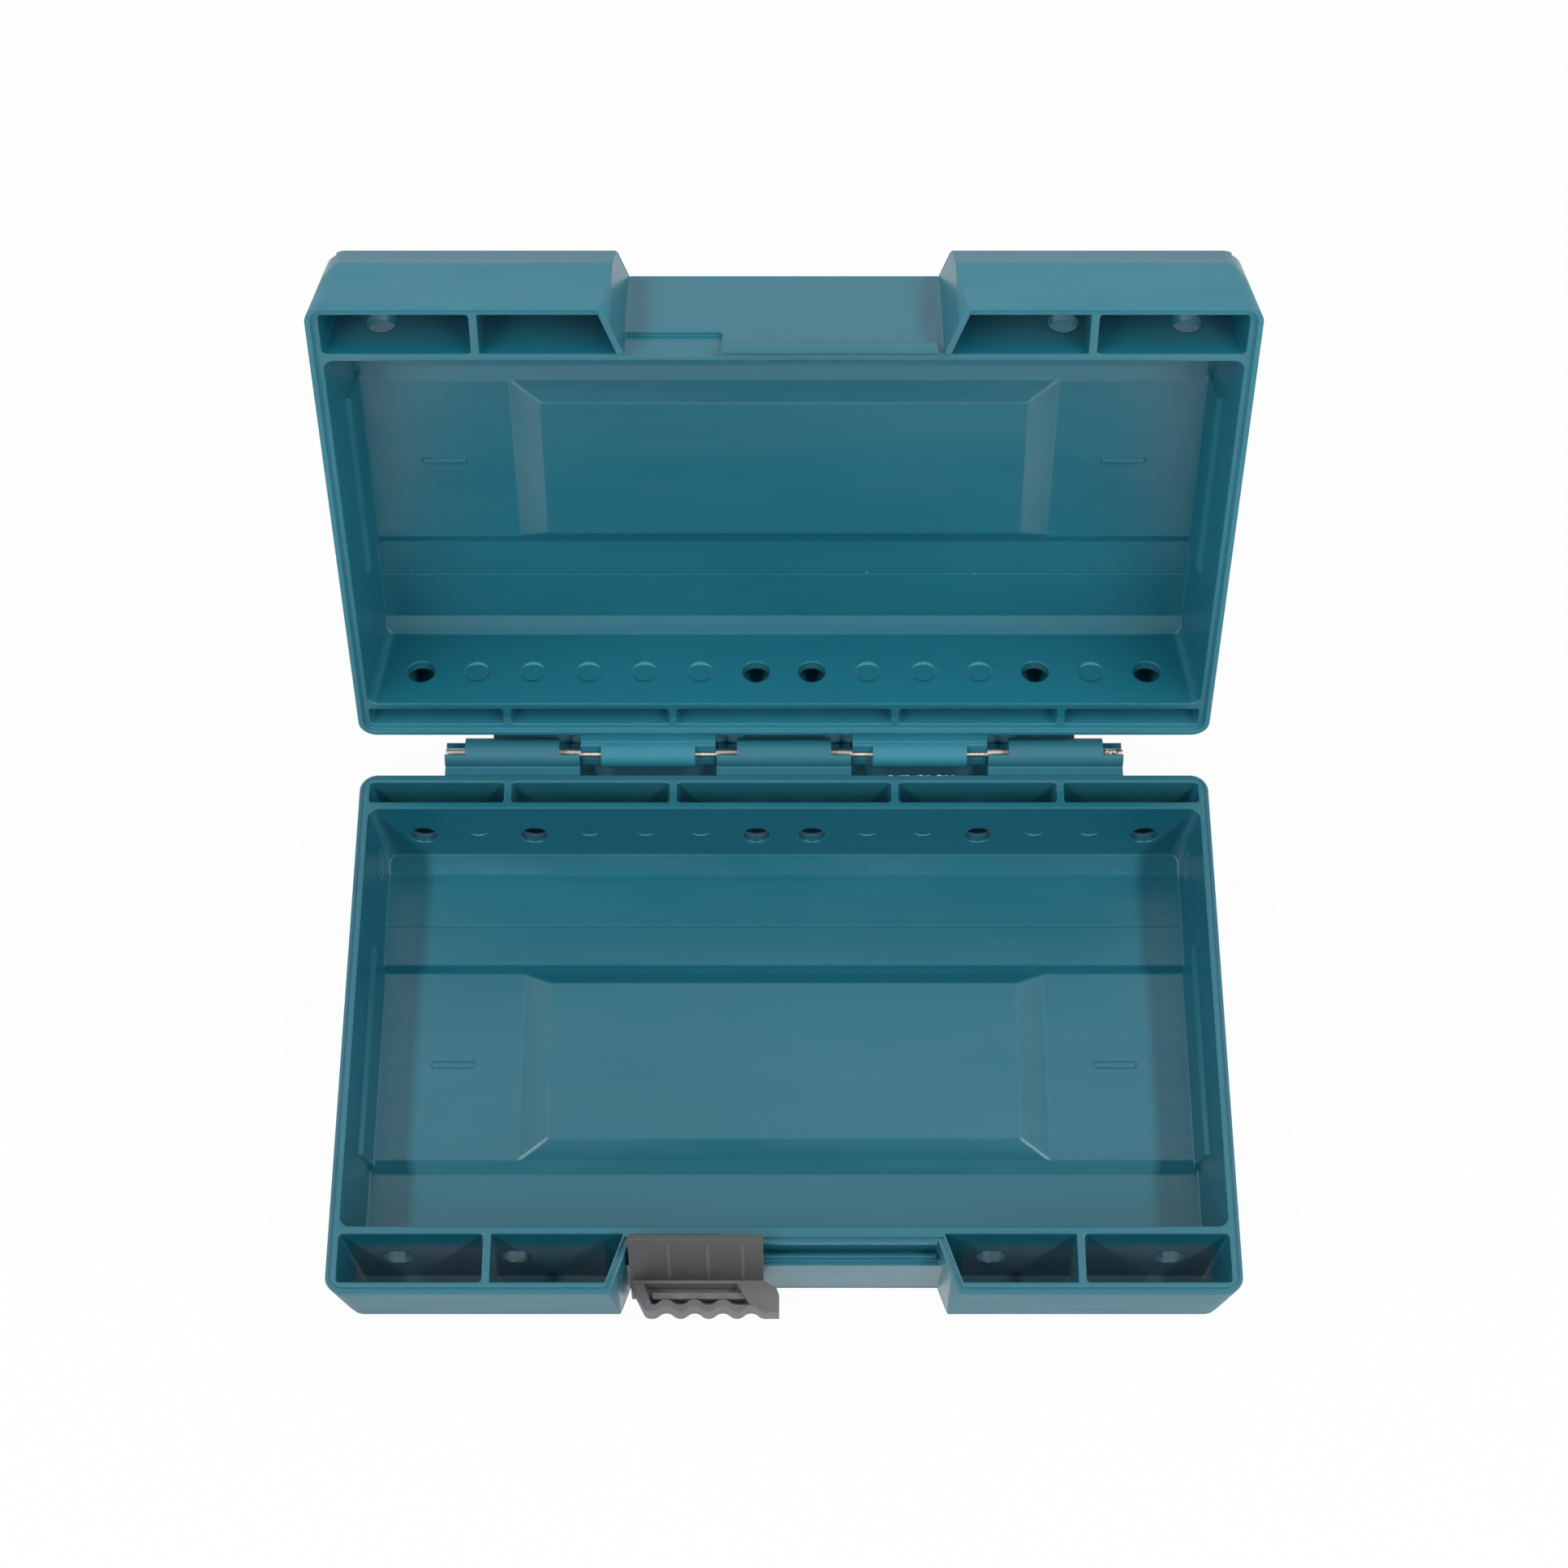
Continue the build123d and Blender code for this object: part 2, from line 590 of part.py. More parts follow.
# Latch
slope = (RECESS_FRONT_HALF - RECESS_BACK_HALF) / RECESS_DEPTH
plate_back = FRONT + RECESS_DEPTH - CATCH_REACH - LATCH_GAP
latch_left = -(RECESS_FRONT_HALF - slope * (plate_back - FRONT)) + LATCH_GAP
latch_right = latch_left + LATCH_WIDTH
plate_foot = FRONT + LEDGE_DEPTH - LATCH_GAP
plate_top = BASE_HEIGHT + PLATE_RISE
tongue_back = FRONT + RECESS_DEPTH - LATCH_GAP
tongue_low = ledge_z + RAIL_HEIGHT + LATCH_GAP
tongue_high = BASE_HEIGHT - BEAD_HEIGHT - LATCH_GAP
hook_front = FRONT + RAIL_BACK + LATCH_GAP
tooth_low = BASE_HEIGHT + CATCH_HEIGHT + LATCH_GAP
rail_left = -RECESS_BACK_HALF + LATCH_GAP
with BuildPart() as latch:
    # Leaning plate with the tongue that runs under the bead and behind the rail
    with BuildSketch(Plane.YZ.offset(latch_left)):
        with BuildLine():
            Polyline(
                (plate_foot, GRIP_LIFT),
                (plate_foot, tongue_low),
                (plate_back, tongue_low),
                (plate_back, plate_top),
                (plate_back - PLATE_THICKNESS + PLATE_LEAN / 2, plate_top),
                (plate_foot - PLATE_THICKNESS, GRIP_TOP),
                (plate_foot - PLATE_THICKNESS, GRIP_LIFT),
                close=True,
            )
        make_face()
    extrude(amount=LATCH_WIDTH)
    with BuildSketch(Plane.YZ.offset(rail_left)):
        with BuildLine():
            Polyline(
                (plate_back, tongue_low),
                (hook_front, tongue_low),
                (hook_front, ledge_z + LATCH_GAP),
                (tongue_back, ledge_z + LATCH_GAP),
                (tongue_back, tongue_high),
                (plate_back, tongue_high),
                close=True,
            )
        make_face()
    extrude(amount=latch_right - rail_left)
    with BuildSketch(Plane.YZ.offset(rail_left + TOOTH_START)):
        with BuildLine():
            Polyline(
                (plate_back, tooth_low),
                (plate_back + TOOTH_REACH, tooth_low),
                (plate_back + TOOTH_REACH, tooth_low + TOOTH_THICKNESS / 2),
                (plate_back, tooth_low + TOOTH_THICKNESS),
                close=True,
            )
        make_face()
    extrude(amount=TOOTH_LENGTH)
    # Fluted grip, hollow from above
    grip_back = plate_foot - PLATE_THICKNESS
    grip_front = FRONT + GRIP_FRONT
    flutes = int(LATCH_WIDTH / FLUTE_PITCH)
    wave_start = latch_left + GRIP_SLANT + GRIP_LAND

    with BuildSketch(Plane.XY.offset(GRIP_TOP - GRIP_HEIGHT)) as grip_plan:
        with BuildLine():
            Polyline(
                (latch_right, grip_back + PLATE_THICKNESS),
                (latch_right, grip_back),
                (latch_right + GRIP_BULGE, grip_back - PLATE_THICKNESS),
                (latch_right + GRIP_SLANT, grip_back - 2 * PLATE_THICKNESS),
                (latch_right + GRIP_SLANT, grip_front),
                flute_point(wave_start, flutes, 0, grip_front),
            )
            fluted_front(wave_start, flutes, grip_front)
            Polyline(
                flute_point(wave_start, 0, 0, grip_front),
                (latch_left + GRIP_SLANT, grip_front),
                (latch_left, grip_back),
                (latch_left, grip_back + PLATE_THICKNESS),
                (latch_right, grip_back + PLATE_THICKNESS),
            )
        make_face()
        front_corners = grip_plan.vertices().group_by(Axis.Y)[0].sort_by(Axis.X)
        fillet(front_corners[0], GRIP_CORNER)
        fillet(front_corners[-1], GRIP_ROUND)
    extrude(amount=GRIP_HEIGHT)
    with BuildSketch(Plane.XY.offset(GRIP_TOP)):
        with BuildLine():
            slot_back = grip_back - SLOT_RIB
            slot_left = flute_point(wave_start, 0, 0, grip_front + GRIP_WALL)
            slot_right = flute_point(wave_start, SLOT_FLUTES, 0, grip_front + GRIP_WALL)
            Polyline(
                slot_right,
                (slot_right[0] + SLOT_LAND, slot_right[1]),
                (slot_right[0], slot_back),
                (slot_left[0] - SLOT_SLANT, slot_back),
                slot_left,
            )
            fluted_front(wave_start, SLOT_FLUTES, grip_front + GRIP_WALL)
        make_face()
    extrude(amount=-(GRIP_HEIGHT - GRIP_FLOOR), mode=Mode.SUBTRACT)
    with BuildSketch(Plane.XY.offset(GRIP_TOP - GRIP_HEIGHT)):
        with Locations((slot_left[0], grip_front + SLOT_BAR_PLACE)):
            Rectangle(slot_right[0] + SLOT_LAND - slot_left[0], SLOT_BAR_WIDTH, align=(Align.MIN, Align.CENTER))
    extrude(amount=GRIP_HEIGHT - SLOT_BAR_DROP)

# The origin is under the middle of the open box
pieces = {"base_shell": base_shell, "lid_shell": lid_shell, "hinge_pin": hinge_pin, "latch": latch}
reach = Compound([piece.part for piece in pieces.values()]).bounding_box()
to_origin = Location((0, -reach.center().Y, -reach.min.Z))
os.makedirs("parts", exist_ok=True)
for name, piece in pieces.items():
    piece.part.move(to_origin)
    piece.part.label = name
    export_step(piece.part, f"parts/{name}.step")
print("shift", -reach.center().Y, "box", reach.size)
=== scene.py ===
"""Compartment organizer box, shown open: moulded finishes, mould marks and a plain studio round the frame."""

import json
import logging
import math
from dataclasses import dataclass, field, replace
from enum import Enum
from typing import Callable

import bmesh
import bpy
import numpy as np
from mathutils import Euler, Matrix, Vector

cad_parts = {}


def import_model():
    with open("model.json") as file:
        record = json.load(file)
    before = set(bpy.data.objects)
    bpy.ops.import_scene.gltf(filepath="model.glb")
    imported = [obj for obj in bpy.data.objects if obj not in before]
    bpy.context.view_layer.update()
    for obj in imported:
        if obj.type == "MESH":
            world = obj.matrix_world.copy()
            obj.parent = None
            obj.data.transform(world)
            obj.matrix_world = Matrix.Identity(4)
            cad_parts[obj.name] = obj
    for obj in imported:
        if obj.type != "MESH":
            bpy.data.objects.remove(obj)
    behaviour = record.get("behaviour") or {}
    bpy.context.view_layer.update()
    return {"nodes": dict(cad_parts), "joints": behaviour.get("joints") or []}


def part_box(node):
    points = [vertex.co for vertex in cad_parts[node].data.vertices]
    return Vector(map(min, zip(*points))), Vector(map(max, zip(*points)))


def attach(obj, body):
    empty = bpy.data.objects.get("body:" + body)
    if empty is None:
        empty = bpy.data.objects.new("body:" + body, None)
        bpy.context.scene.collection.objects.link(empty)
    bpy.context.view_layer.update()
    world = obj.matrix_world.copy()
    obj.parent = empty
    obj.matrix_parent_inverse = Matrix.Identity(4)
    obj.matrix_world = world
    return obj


MM = 0.001
LOG = logging.getLogger("organizer_box")


class Tree:
    """A node tree with short calls that add and join nodes."""

    def __init__(self, tree: bpy.types.NodeTree) -> None:
        """Keeps the tree."""
        self.tree = tree

    def add(self, kind: str, **settings: object) -> bpy.types.Node:
        """Adds one node.

        Args:
            kind: Blender's name of the node's type.
            **settings: Plain properties of the node, by name.

        Returns:
            The new node.
        """
        node = self.tree.nodes.new(kind)
        for name, value in settings.items():
            setattr(node, name, value)
        return node

    def join(self, source: bpy.types.NodeSocket, target: bpy.types.NodeSocket) -> None:
        """Links an output to an input."""
        self.tree.links.new(source, target)

    def feed(self, target: bpy.types.NodeSocket, value: object) -> None:
        """Gives an input a link or a plain value, whichever it is handed."""
        if isinstance(value, bpy.types.NodeSocket):
            self.join(value, target)
        else:
            target.default_value = value

    def maths(self, operation: str, first: object, second: object = 0.0) -> bpy.types.NodeSocket:
        """Adds a Math node and gives its result.

        Args:
            operation: Blender's name of the operation.
            first: Link or number for the first input.
            second: Link or number for the second input.

        Returns:
            The node's output.
        """
        node = self.add("ShaderNodeMath", operation=operation)
        self.feed(node.inputs[0], first)
        self.feed(node.inputs[1], second)
        return node.outputs[0]

    def noise(self, vector: object, scale: object, detail: float, roughness: float = 0.5) -> bpy.types.NodeSocket:
        """Adds a Noise Texture and gives its value between 0 and 1."""
        node = self.add("ShaderNodeTexNoise")
        self.feed(node.inputs["Vector"], vector)
        self.feed(node.inputs["Scale"], scale)
        node.inputs["Detail"].default_value = detail
        node.inputs["Roughness"].default_value = roughness
        return node.outputs["Fac"]

    def between(
        self, value: object, low: float, high: float, to_low: object = 0.0, to_high: object = 1.0
    ) -> bpy.types.NodeSocket:
        """Adds a clamped Map Range from one span of values to another.

        Args:
            value: Link or number to map.
            low: Value that gives to_low. It may be above high.
            high: Value that gives to_high.
            to_low: Link or number for the one end.
            to_high: Link or number for the other end.

        Returns:
            The node's output.
        """
        node = self.add("ShaderNodeMapRange", interpolation_type="SMOOTHSTEP")
        self.feed(node.inputs["Value"], value)
        node.inputs["From Min"].default_value = low
        node.inputs["From Max"].default_value = high
        self.feed(node.inputs["To Min"], to_low)
        self.feed(node.inputs["To Max"], to_high)
        return node.outputs["Result"]

    def mixed(self, factor: object, first: object, second: object) -> bpy.types.NodeSocket:
        """Adds a Mix of two numbers and gives its result."""
        node = self.add("ShaderNodeMix", data_type="FLOAT")
        self.feed(node.inputs["Factor"], factor)
        self.feed(node.inputs["A"], first)
        self.feed(node.inputs["B"], second)
        return node.outputs["Result"]

    def split(self, vector: bpy.types.NodeSocket) -> list[bpy.types.NodeSocket]:
        """Adds a Separate XYZ and gives its three results."""
        node = self.add("ShaderNodeSeparateXYZ")
        self.join(vector, node.inputs[0])
        return list(node.outputs)

    def blend(self, factor: object, first: object, second: object) -> bpy.types.NodeSocket:
        """Adds a colour Mix and gives its result."""
        node = self.add("ShaderNodeMix", data_type="RGBA")
        self.feed(node.inputs["Factor"], factor)
        self.feed(node.inputs["A"], first)
        self.feed(node.inputs["B"], second)
        return node.outputs["Result"]


@dataclass
class Effect:
    """A shader node group under construction, with its own inputs and outputs."""

    name: str
    inputs: dict[str, tuple[str, object]]
    outputs: dict[str, str]
    tree: Tree = field(init=False)
    source: bpy.types.Node = field(init=False)
    sink: bpy.types.Node = field(init=False)

    def __post_init__(self) -> None:
        """Makes the group and its sockets."""
        group = bpy.data.node_groups.new(self.name, "ShaderNodeTree")
        for name, (kind, value) in self.inputs.items():
            socket = group.interface.new_socket(name=name, in_out="INPUT", socket_type=kind)
            if value is not None:
                socket.default_value = value
        for name, kind in self.outputs.items():
            group.interface.new_socket(name=name, in_out="OUTPUT", socket_type=kind)
        self.tree = Tree(group)
        self.source = self.tree.add("NodeGroupInput")
        self.sink = self.tree.add("NodeGroupOutput")

    def give(self, name: str, value: bpy.types.NodeSocket) -> None:
        """Joins a result to one of the group's outputs."""
        self.tree.join(value, self.sink.inputs[name])


@dataclass
class Effects:
    """The shared effects, each built once."""

    grain: bpy.types.NodeTree = field(init=False)
    flow: bpy.types.NodeTree = field(init=False)
    edges: bpy.types.NodeTree = field(init=False)
    inside: bpy.types.NodeTree = field(init=False)
    handling: bpy.types.NodeTree = field(init=False)
    disc: bpy.types.NodeTree = field(init=False)
    groove: bpy.types.NodeTree = field(init=False)

    def __post_init__(self) -> None:
        """Builds every group."""
        self.grain = self.spark_grain()
        self.flow = self.flow_mottle()
        self.edges = self.edge_mask()
        self.inside = self.inside_mask()
        self.handling = self.handling_marks()
        self.disc = self.sunk_disc()
        self.groove = self.fine_groove()

    def spark_grain(self) -> bpy.types.NodeTree:
        """The fine pitting that an eroded mould leaves: two sizes of noise added."""
        effect = Effect(
            "spark_grain",
            {"Vector": ("NodeSocketVector", None), "Scale": ("NodeSocketFloat", 1800.0)},
            {"Height": "NodeSocketFloat"},
        )
        tree, source = effect.tree, effect.source
        fine = tree.noise(source.outputs["Vector"], source.outputs["Scale"], 2.0, 0.6)
        coarse_scale = tree.maths("MULTIPLY", source.outputs["Scale"], 0.31)
        coarse = tree.noise(source.outputs["Vector"], coarse_scale, 1.0)
        effect.give("Height", tree.maths("ADD", tree.maths("MULTIPLY", fine, 0.7), tree.maths("MULTIPLY", coarse, 0.3)))
        return effect.tree.tree

    def flow_mottle(self) -> bpy.types.NodeTree:
        """The faint clouding of a coloured moulding: wide noise drawn out along the fill."""
        effect = Effect(
            "flow_mottle",
            {
                "Vector": ("NodeSocketVector", None),
                "Dark": ("NodeSocketColor", (0.1, 0.1, 0.1, 1)),
                "Light": ("NodeSocketColor", (0.2, 0.2, 0.2, 1)),
                "Scale": ("NodeSocketFloat", 14.0),
            },
            {"Color": "NodeSocketColor"},
        )
        tree, source = effect.tree, effect.source
        stretch = tree.add("ShaderNodeMapping")
        stretch.inputs["Scale"].default_value = (0.5, 1.6, 1.6)
        tree.join(source.outputs["Vector"], stretch.inputs["Vector"])
        wide = tree.noise(stretch.outputs[0], source.outputs["Scale"], 3.0)
        factor = tree.between(wide, 0.3, 0.7)
        effect.give("Color", tree.blend(factor, source.outputs["Dark"], source.outputs["Light"]))
        return effect.tree.tree

    def edge_mask(self) -> bpy.types.NodeTree:
        """Bright where a rounded normal leans away from the flat one, so on edges alone: the mask of the painted edge
        highlight.
        """
        effect = Effect(
            "edge_mask",
            {"Rounded": ("NodeSocketVector", None)},
            {"Mask": "NodeSocketFloat"},
        )
        tree, source = effect.tree, effect.source
        geometry = tree.add("ShaderNodeNewGeometry")
        dot = tree.add("ShaderNodeVectorMath", operation="DOT_PRODUCT")
        tree.join(source.outputs["Rounded"], dot.inputs[0])
        tree.join(geometry.outputs["Normal"], dot.inputs[1])
        effect.give("Mask", tree.between(dot.outputs["Value"], 0.995, 0.86))
        return effect.tree.tree

    def inside_mask(self) -> bpy.types.NodeTree:
        """1 inside an upright box given by its middle and half its size, and 0 outside."""
        effect = Effect(
            "inside_mask",
            {
                "Vector": ("NodeSocketVector", None),
                "Middle": ("NodeSocketVector", None),
                "Half": ("NodeSocketVector", None),
            },
            {"Mask": "NodeSocketFloat"},
        )
        tree, source = effect.tree, effect.source
        away = tree.add("ShaderNodeVectorMath", operation="SUBTRACT")
        tree.join(source.outputs["Vector"], away.inputs[0])
        tree.join(source.outputs["Middle"], away.inputs[1])
        size = tree.add("ShaderNodeVectorMath", operation="ABSOLUTE")
        tree.join(away.outputs[0], size.inputs[0])
        share = tree.add("ShaderNodeVectorMath", operation="DIVIDE")
        tree.join(size.outputs[0], share.inputs[0])
        tree.join(source.outputs["Half"], share.inputs[1])
        x, y, z = tree.split(share.outputs[0])
        widest = tree.maths("MAXIMUM", x, tree.maths("MAXIMUM", y, z))
        effect.give("Mask", tree.maths("LESS_THAN", widest, 1.0))
        return effect.tree.tree

    def handling_marks(self) -> bpy.types.NodeTree:
        """Faint dull wipes that handling leaves in the gloss: drawn-out noise kept where it is highest."""
        effect = Effect(
            "handling_marks",
            {
                "Vector": ("NodeSocketVector", None),
                "Scale": ("NodeSocketFloat", 60.0),
                "Polished": ("NodeSocketFloat", 0.3),
                "Dull": ("NodeSocketFloat", 0.4),
            },
            {"Roughness": "NodeSocketFloat"},
        )
        tree, source = effect.tree, effect.source
        stretch = tree.add("ShaderNodeMapping")
        stretch.inputs["Rotation"].default_value = (0.3, 0.2, 0.6)
        stretch.inputs["Scale"].default_value = (0.35, 1.7, 1.0)
        tree.join(source.outputs["Vector"], stretch.inputs["Vector"])
        wipes = tree.noise(stretch.outputs[0], source.outputs["Scale"], 4.0, 0.65)
        effect.give("Roughness", tree.between(wipes, 0.35, 0.75, source.outputs["Polished"], source.outputs["Dull"]))
        return effect.tree.tree

    def sunk_disc(self) -> bpy.types.NodeTree:
        """1 within a round mark and 0 outside it: a smooth step on the distance from its middle."""
        effect = Effect(
            "sunk_disc",
            {
                "Across": ("NodeSocketFloat", 0.0),
                "Along": ("NodeSocketFloat", 0.0),
                "Radius": ("NodeSocketFloat", 4 * MM),
            },
            {"Mask": "NodeSocketFloat"},
        )
        tree, source = effect.tree, effect.source
        across = tree.maths("POWER", tree.maths("ABSOLUTE", source.outputs["Across"]), 2.0)
        along = tree.maths("POWER", tree.maths("ABSOLUTE", source.outputs["Along"]), 2.0)
        distance = tree.maths("SQRT", tree.maths("ADD", across, along))
        share = tree.maths("DIVIDE", distance, source.outputs["Radius"])
        effect.give("Mask", tree.between(share, 1.06, 0.78))
        return effect.tree.tree

    def fine_groove(self) -> bpy.types.NodeTree:
        """1 on a line and 0 a little way from it: a smooth step on the distance across it."""
        effect = Effect(
            "fine_groove",
            {"Across": ("NodeSocketFloat", 0.0), "Width": ("NodeSocketFloat", 0.4 * MM)},
            {"Mask": "NodeSocketFloat"},
        )
        tree, source = effect.tree, effect.source
        share = tree.maths("DIVIDE", tree.maths("ABSOLUTE", source.outputs["Across"]), source.outputs["Width"])
        effect.give("Mask", tree.between(share, 1.0, 0.2))
        return effect.tree.tree


def placed(tree: Tree, group: bpy.types.NodeTree, **values: object) -> bpy.types.Node:
    """Puts a shared effect into a material.

    Args:
        tree: The material's tree.
        group: The effect's node group.
        **values: Links or plain values of its inputs, by name.

    Returns:
        The group node.
    """
    node = tree.add("ShaderNodeGroup", node_tree=group)
    for name, value in values.items():
        tree.feed(node.inputs[name], value)
    return node


Field = Callable[[Tree, bpy.types.NodeSocket], bpy.types.NodeSocket]
NOWHERE = Vector((10, 10, 10))
ANY_SIZE = Vector((1, 1, 1))


class Skin(Enum):
    """How a moulding leaves its mould: the pitting's height in metres."""

    POLISHED = 0.000004
    ERODED = 0.00003
    SOFT = 0.00005


@dataclass(frozen=True)
class Moulded:
    """Coloured moulded plastic: smooth and half glossy inside, finely pitted outside, with a second tone of painted
    light and shade in places, a painted highlight on its edges and painted light on its outer faces.
    """

    name: str
    dark: tuple[float, float, float]
    light: tuple[float, float, float]
    edge_highlight: tuple[float, float, float]
    second: tuple[float, float, float]
    outer_light_gain: float
    inner_roughness: tuple[float, float]
    outer_roughness: tuple[float, float]
    inner_skin: Skin
    outer_skin: Skin
    index: float = 1.66
    edge_radius: float = 0.5 * MM
    edge_highlight_share: float = 0.55
    grain_scale: float = 1800.0

    def material(
        self,
        effects: Effects,
        turn: float,
        pivot: Vector,
        middle: Vector,
        half: Vector,
        relief: Field,
        toned: Field,
    ) -> bpy.types.Material:
        """Builds the material.

        Args:
            effects: The shared effects.
            turn: Angle about X that turns the piece back to its closed place.
            pivot: A point of the axis of that turn.
            middle: Middle of the box that holds the inner faces, with the piece closed.
            half: Half the size of that box.
            relief: Gives the height of the mould marks at a place of the closed piece.
            toned: Gives the share of the second tone at such a place; that tone is painted light and shade.

        Returns:
            The material.
        """
        material = bpy.data.materials.new(self.name)
        material.use_nodes = True
        tree = Tree(material.node_tree)
        shader = material.node_tree.nodes["Principled BSDF"]
        place = tree.add("ShaderNodeTexCoord").outputs["Object"]
        mapping = tree.add("ShaderNodeMapping", vector_type="POINT")
        mapping.inputs["Rotation"].default_value = (turn, 0, 0)
        mapping.inputs["Location"].default_value = pivot - Matrix.Rotation(turn, 3, "X") @ pivot
        tree.join(place, mapping.inputs["Vector"])
        closed = mapping.outputs[0]
        inside = placed(tree, effects.inside, Vector=closed, Middle=middle, Half=half).outputs["Mask"]
        rounded = tree.add("ShaderNodeBevel", samples=6)
        rounded.inputs["Radius"].default_value = self.edge_radius
        edge = placed(tree, effects.edges, Rounded=rounded.outputs[0]).outputs["Mask"]
        inner_body = self.clouded(tree, effects, closed, 1.0)
        # Painted light: the outer faces take a lighter copy of the body colour.
        outer_body = self.clouded(tree, effects, closed, self.outer_light_gain)
        body = tree.blend(inside, outer_body, inner_body)
        # Painted light and shade: the second tone, greyer deep in the trays' narrow rooms and lighter on the latch's
        # grip.
        body = tree.blend(toned(tree, closed), body, (*self.second, 1))
        # Painted highlight: the edges are lightened toward a lighter colour, standing in for light caught on the
        # rounded rims.
        painted_edge_highlight = tree.maths("MULTIPLY", edge, self.edge_highlight_share)
        tree.join(tree.blend(painted_edge_highlight, body, (*self.edge_highlight, 1)), shader.inputs["Base Color"])
        inner, outer = (
            placed(tree, effects.handling, Vector=closed, Polished=polished, Dull=dull).outputs["Roughness"]
            for polished, dull in (self.inner_roughness, self.outer_roughness)
        )
        tree.join(tree.mixed(inside, outer, inner), shader.inputs["Roughness"])
        grain = placed(tree, effects.grain, Vector=closed, Scale=self.grain_scale).outputs["Height"]
        depth = tree.mixed(inside, self.outer_skin.value, self.inner_skin.value)
        bump = tree.add("ShaderNodeBump")
        bump.inputs["Distance"].default_value = 1.0
        pitted = tree.maths("MULTIPLY", grain, depth)
        tree.join(tree.maths("ADD", pitted, relief(tree, closed)), bump.inputs["Height"])
        tree.join(rounded.outputs[0], bump.inputs["Normal"])
        tree.join(bump.outputs[0], shader.inputs["Normal"])
        shader.inputs["IOR"].default_value = self.index
        return material

    def clouded(
        self, tree: Tree, effects: Effects, closed: bpy.types.NodeSocket, gain: float
    ) -> bpy.types.NodeSocket:
        """The body colour with its faint clouding, times a gain; on the outer faces that gain is painted light, making
        them lighter.
        """
        dark = tuple(gain * part for part in self.dark)
        light = tuple(gain * part for part in self.light)
        return placed(tree, effects.flow, Vector=closed, Dark=(*dark, 1), Light=(*light, 1)).outputs["Color"]


@dataclass(frozen=True)
class Steel:
    """Drawn steel with fine turned lines round it and one peened, speckled end."""

    name: str
    dark: tuple[float, float, float]
    light: tuple[float, float, float]
    peened: tuple[float, float, float]
    roughness: tuple[float, float]
    peened_from: float
    peened_blend: float = 0.6 * MM
    line_stretch: float = 14.0
    line_scale: float = 260.0
    line_depth: float = 0.00001
    speck_scale: float = 1500.0
    dent_depth: float = 0.0003
    wipe_scale: float = 300.0

    def material(self, effects: Effects) -> bpy.types.Material:
        """Builds the material from the shared effects."""
        material = bpy.data.materials.new(self.name)
        material.use_nodes = True
        tree = Tree(material.node_tree)
        shader = material.node_tree.nodes["Principled BSDF"]
        place = tree.add("ShaderNodeTexCoord").outputs["Object"]
        stretch = tree.add("ShaderNodeMapping")
        stretch.inputs["Scale"].default_value = (self.line_stretch, 1.0, 1.0)
        tree.join(place, stretch.inputs["Vector"])
        lines = tree.noise(stretch.outputs[0], self.line_scale, 3.0)
        shade = tree.between(lines, 0.3, 0.7)
        hammered = tree.between(tree.split(place)[0], self.peened_from, self.peened_from + self.peened_blend)
        specks = tree.noise(place, self.speck_scale, 2.0)
        speckled = tree.maths("MULTIPLY", hammered, tree.between(specks, 0.56, 0.44))
        body = tree.blend(shade, (*self.dark, 1), (*self.light, 1))
        tree.join(tree.blend(speckled, body, (*self.peened, 1)), shader.inputs["Base Color"])
        polished, dull = self.roughness
        wipes = placed(tree, effects.handling, Vector=place, Scale=self.wipe_scale, Polished=polished, Dull=dull)
        tree.join(wipes.outputs["Roughness"], shader.inputs["Roughness"])
        bump = tree.add("ShaderNodeBump")
        bump.inputs["Distance"].default_value = 1.0
        dents = tree.maths("MULTIPLY", tree.maths("MULTIPLY", hammered, specks), self.dent_depth)
        tree.join(tree.maths("ADD", tree.maths("MULTIPLY", lines, self.line_depth), dents), bump.inputs["Height"])
        tree.join(bump.outputs[0], shader.inputs["Normal"])
        shader.inputs["Metallic"].default_value = 1.0
        return material


BASE_PLASTIC = Moulded(
    name="base_plastic",
    dark=(0.008, 0.148, 0.207),
    light=(0.013, 0.169, 0.235),
    edge_highlight=(0.060, 0.260, 0.330),
    # Painted shade: the greyer tone laid deep in the base's narrow rooms.
    second=(0.150, 0.200, 0.245),
    outer_light_gain=1.02,
    inner_roughness=(0.28, 0.36),
    outer_roughness=(0.52, 0.62),
    inner_skin=Skin.POLISHED,
    outer_skin=Skin.ERODED,
    edge_radius=0.8 * MM,
)
# Painted light: the lid's colours are a lighter copy of the base's, because the lid stands in more light.
LID_PLASTIC = replace(
    BASE_PLASTIC,
    name="lid_plastic",
    dark=(0.011, 0.174, 0.243),
    light=(0.016, 0.199, 0.275),
    # Painted shade: the tone laid deep in the lid's narrow rooms.
    second=(0.050, 0.190, 0.245),
    outer_light_gain=1.22,
)
# Painted highlight: the marks' colours are lighter than the body, for light caught on their edges.
BASE_HIGHLIGHT_MARK = replace(BASE_PLASTIC, name="base_mark", dark=(0.030, 0.260, 0.330), light=(0.060, 0.320, 0.390))
LID_HIGHLIGHT_MARK = replace(LID_PLASTIC, name="lid_mark", dark=(0.025, 0.250, 0.320), light=(0.040, 0.290, 0.360))
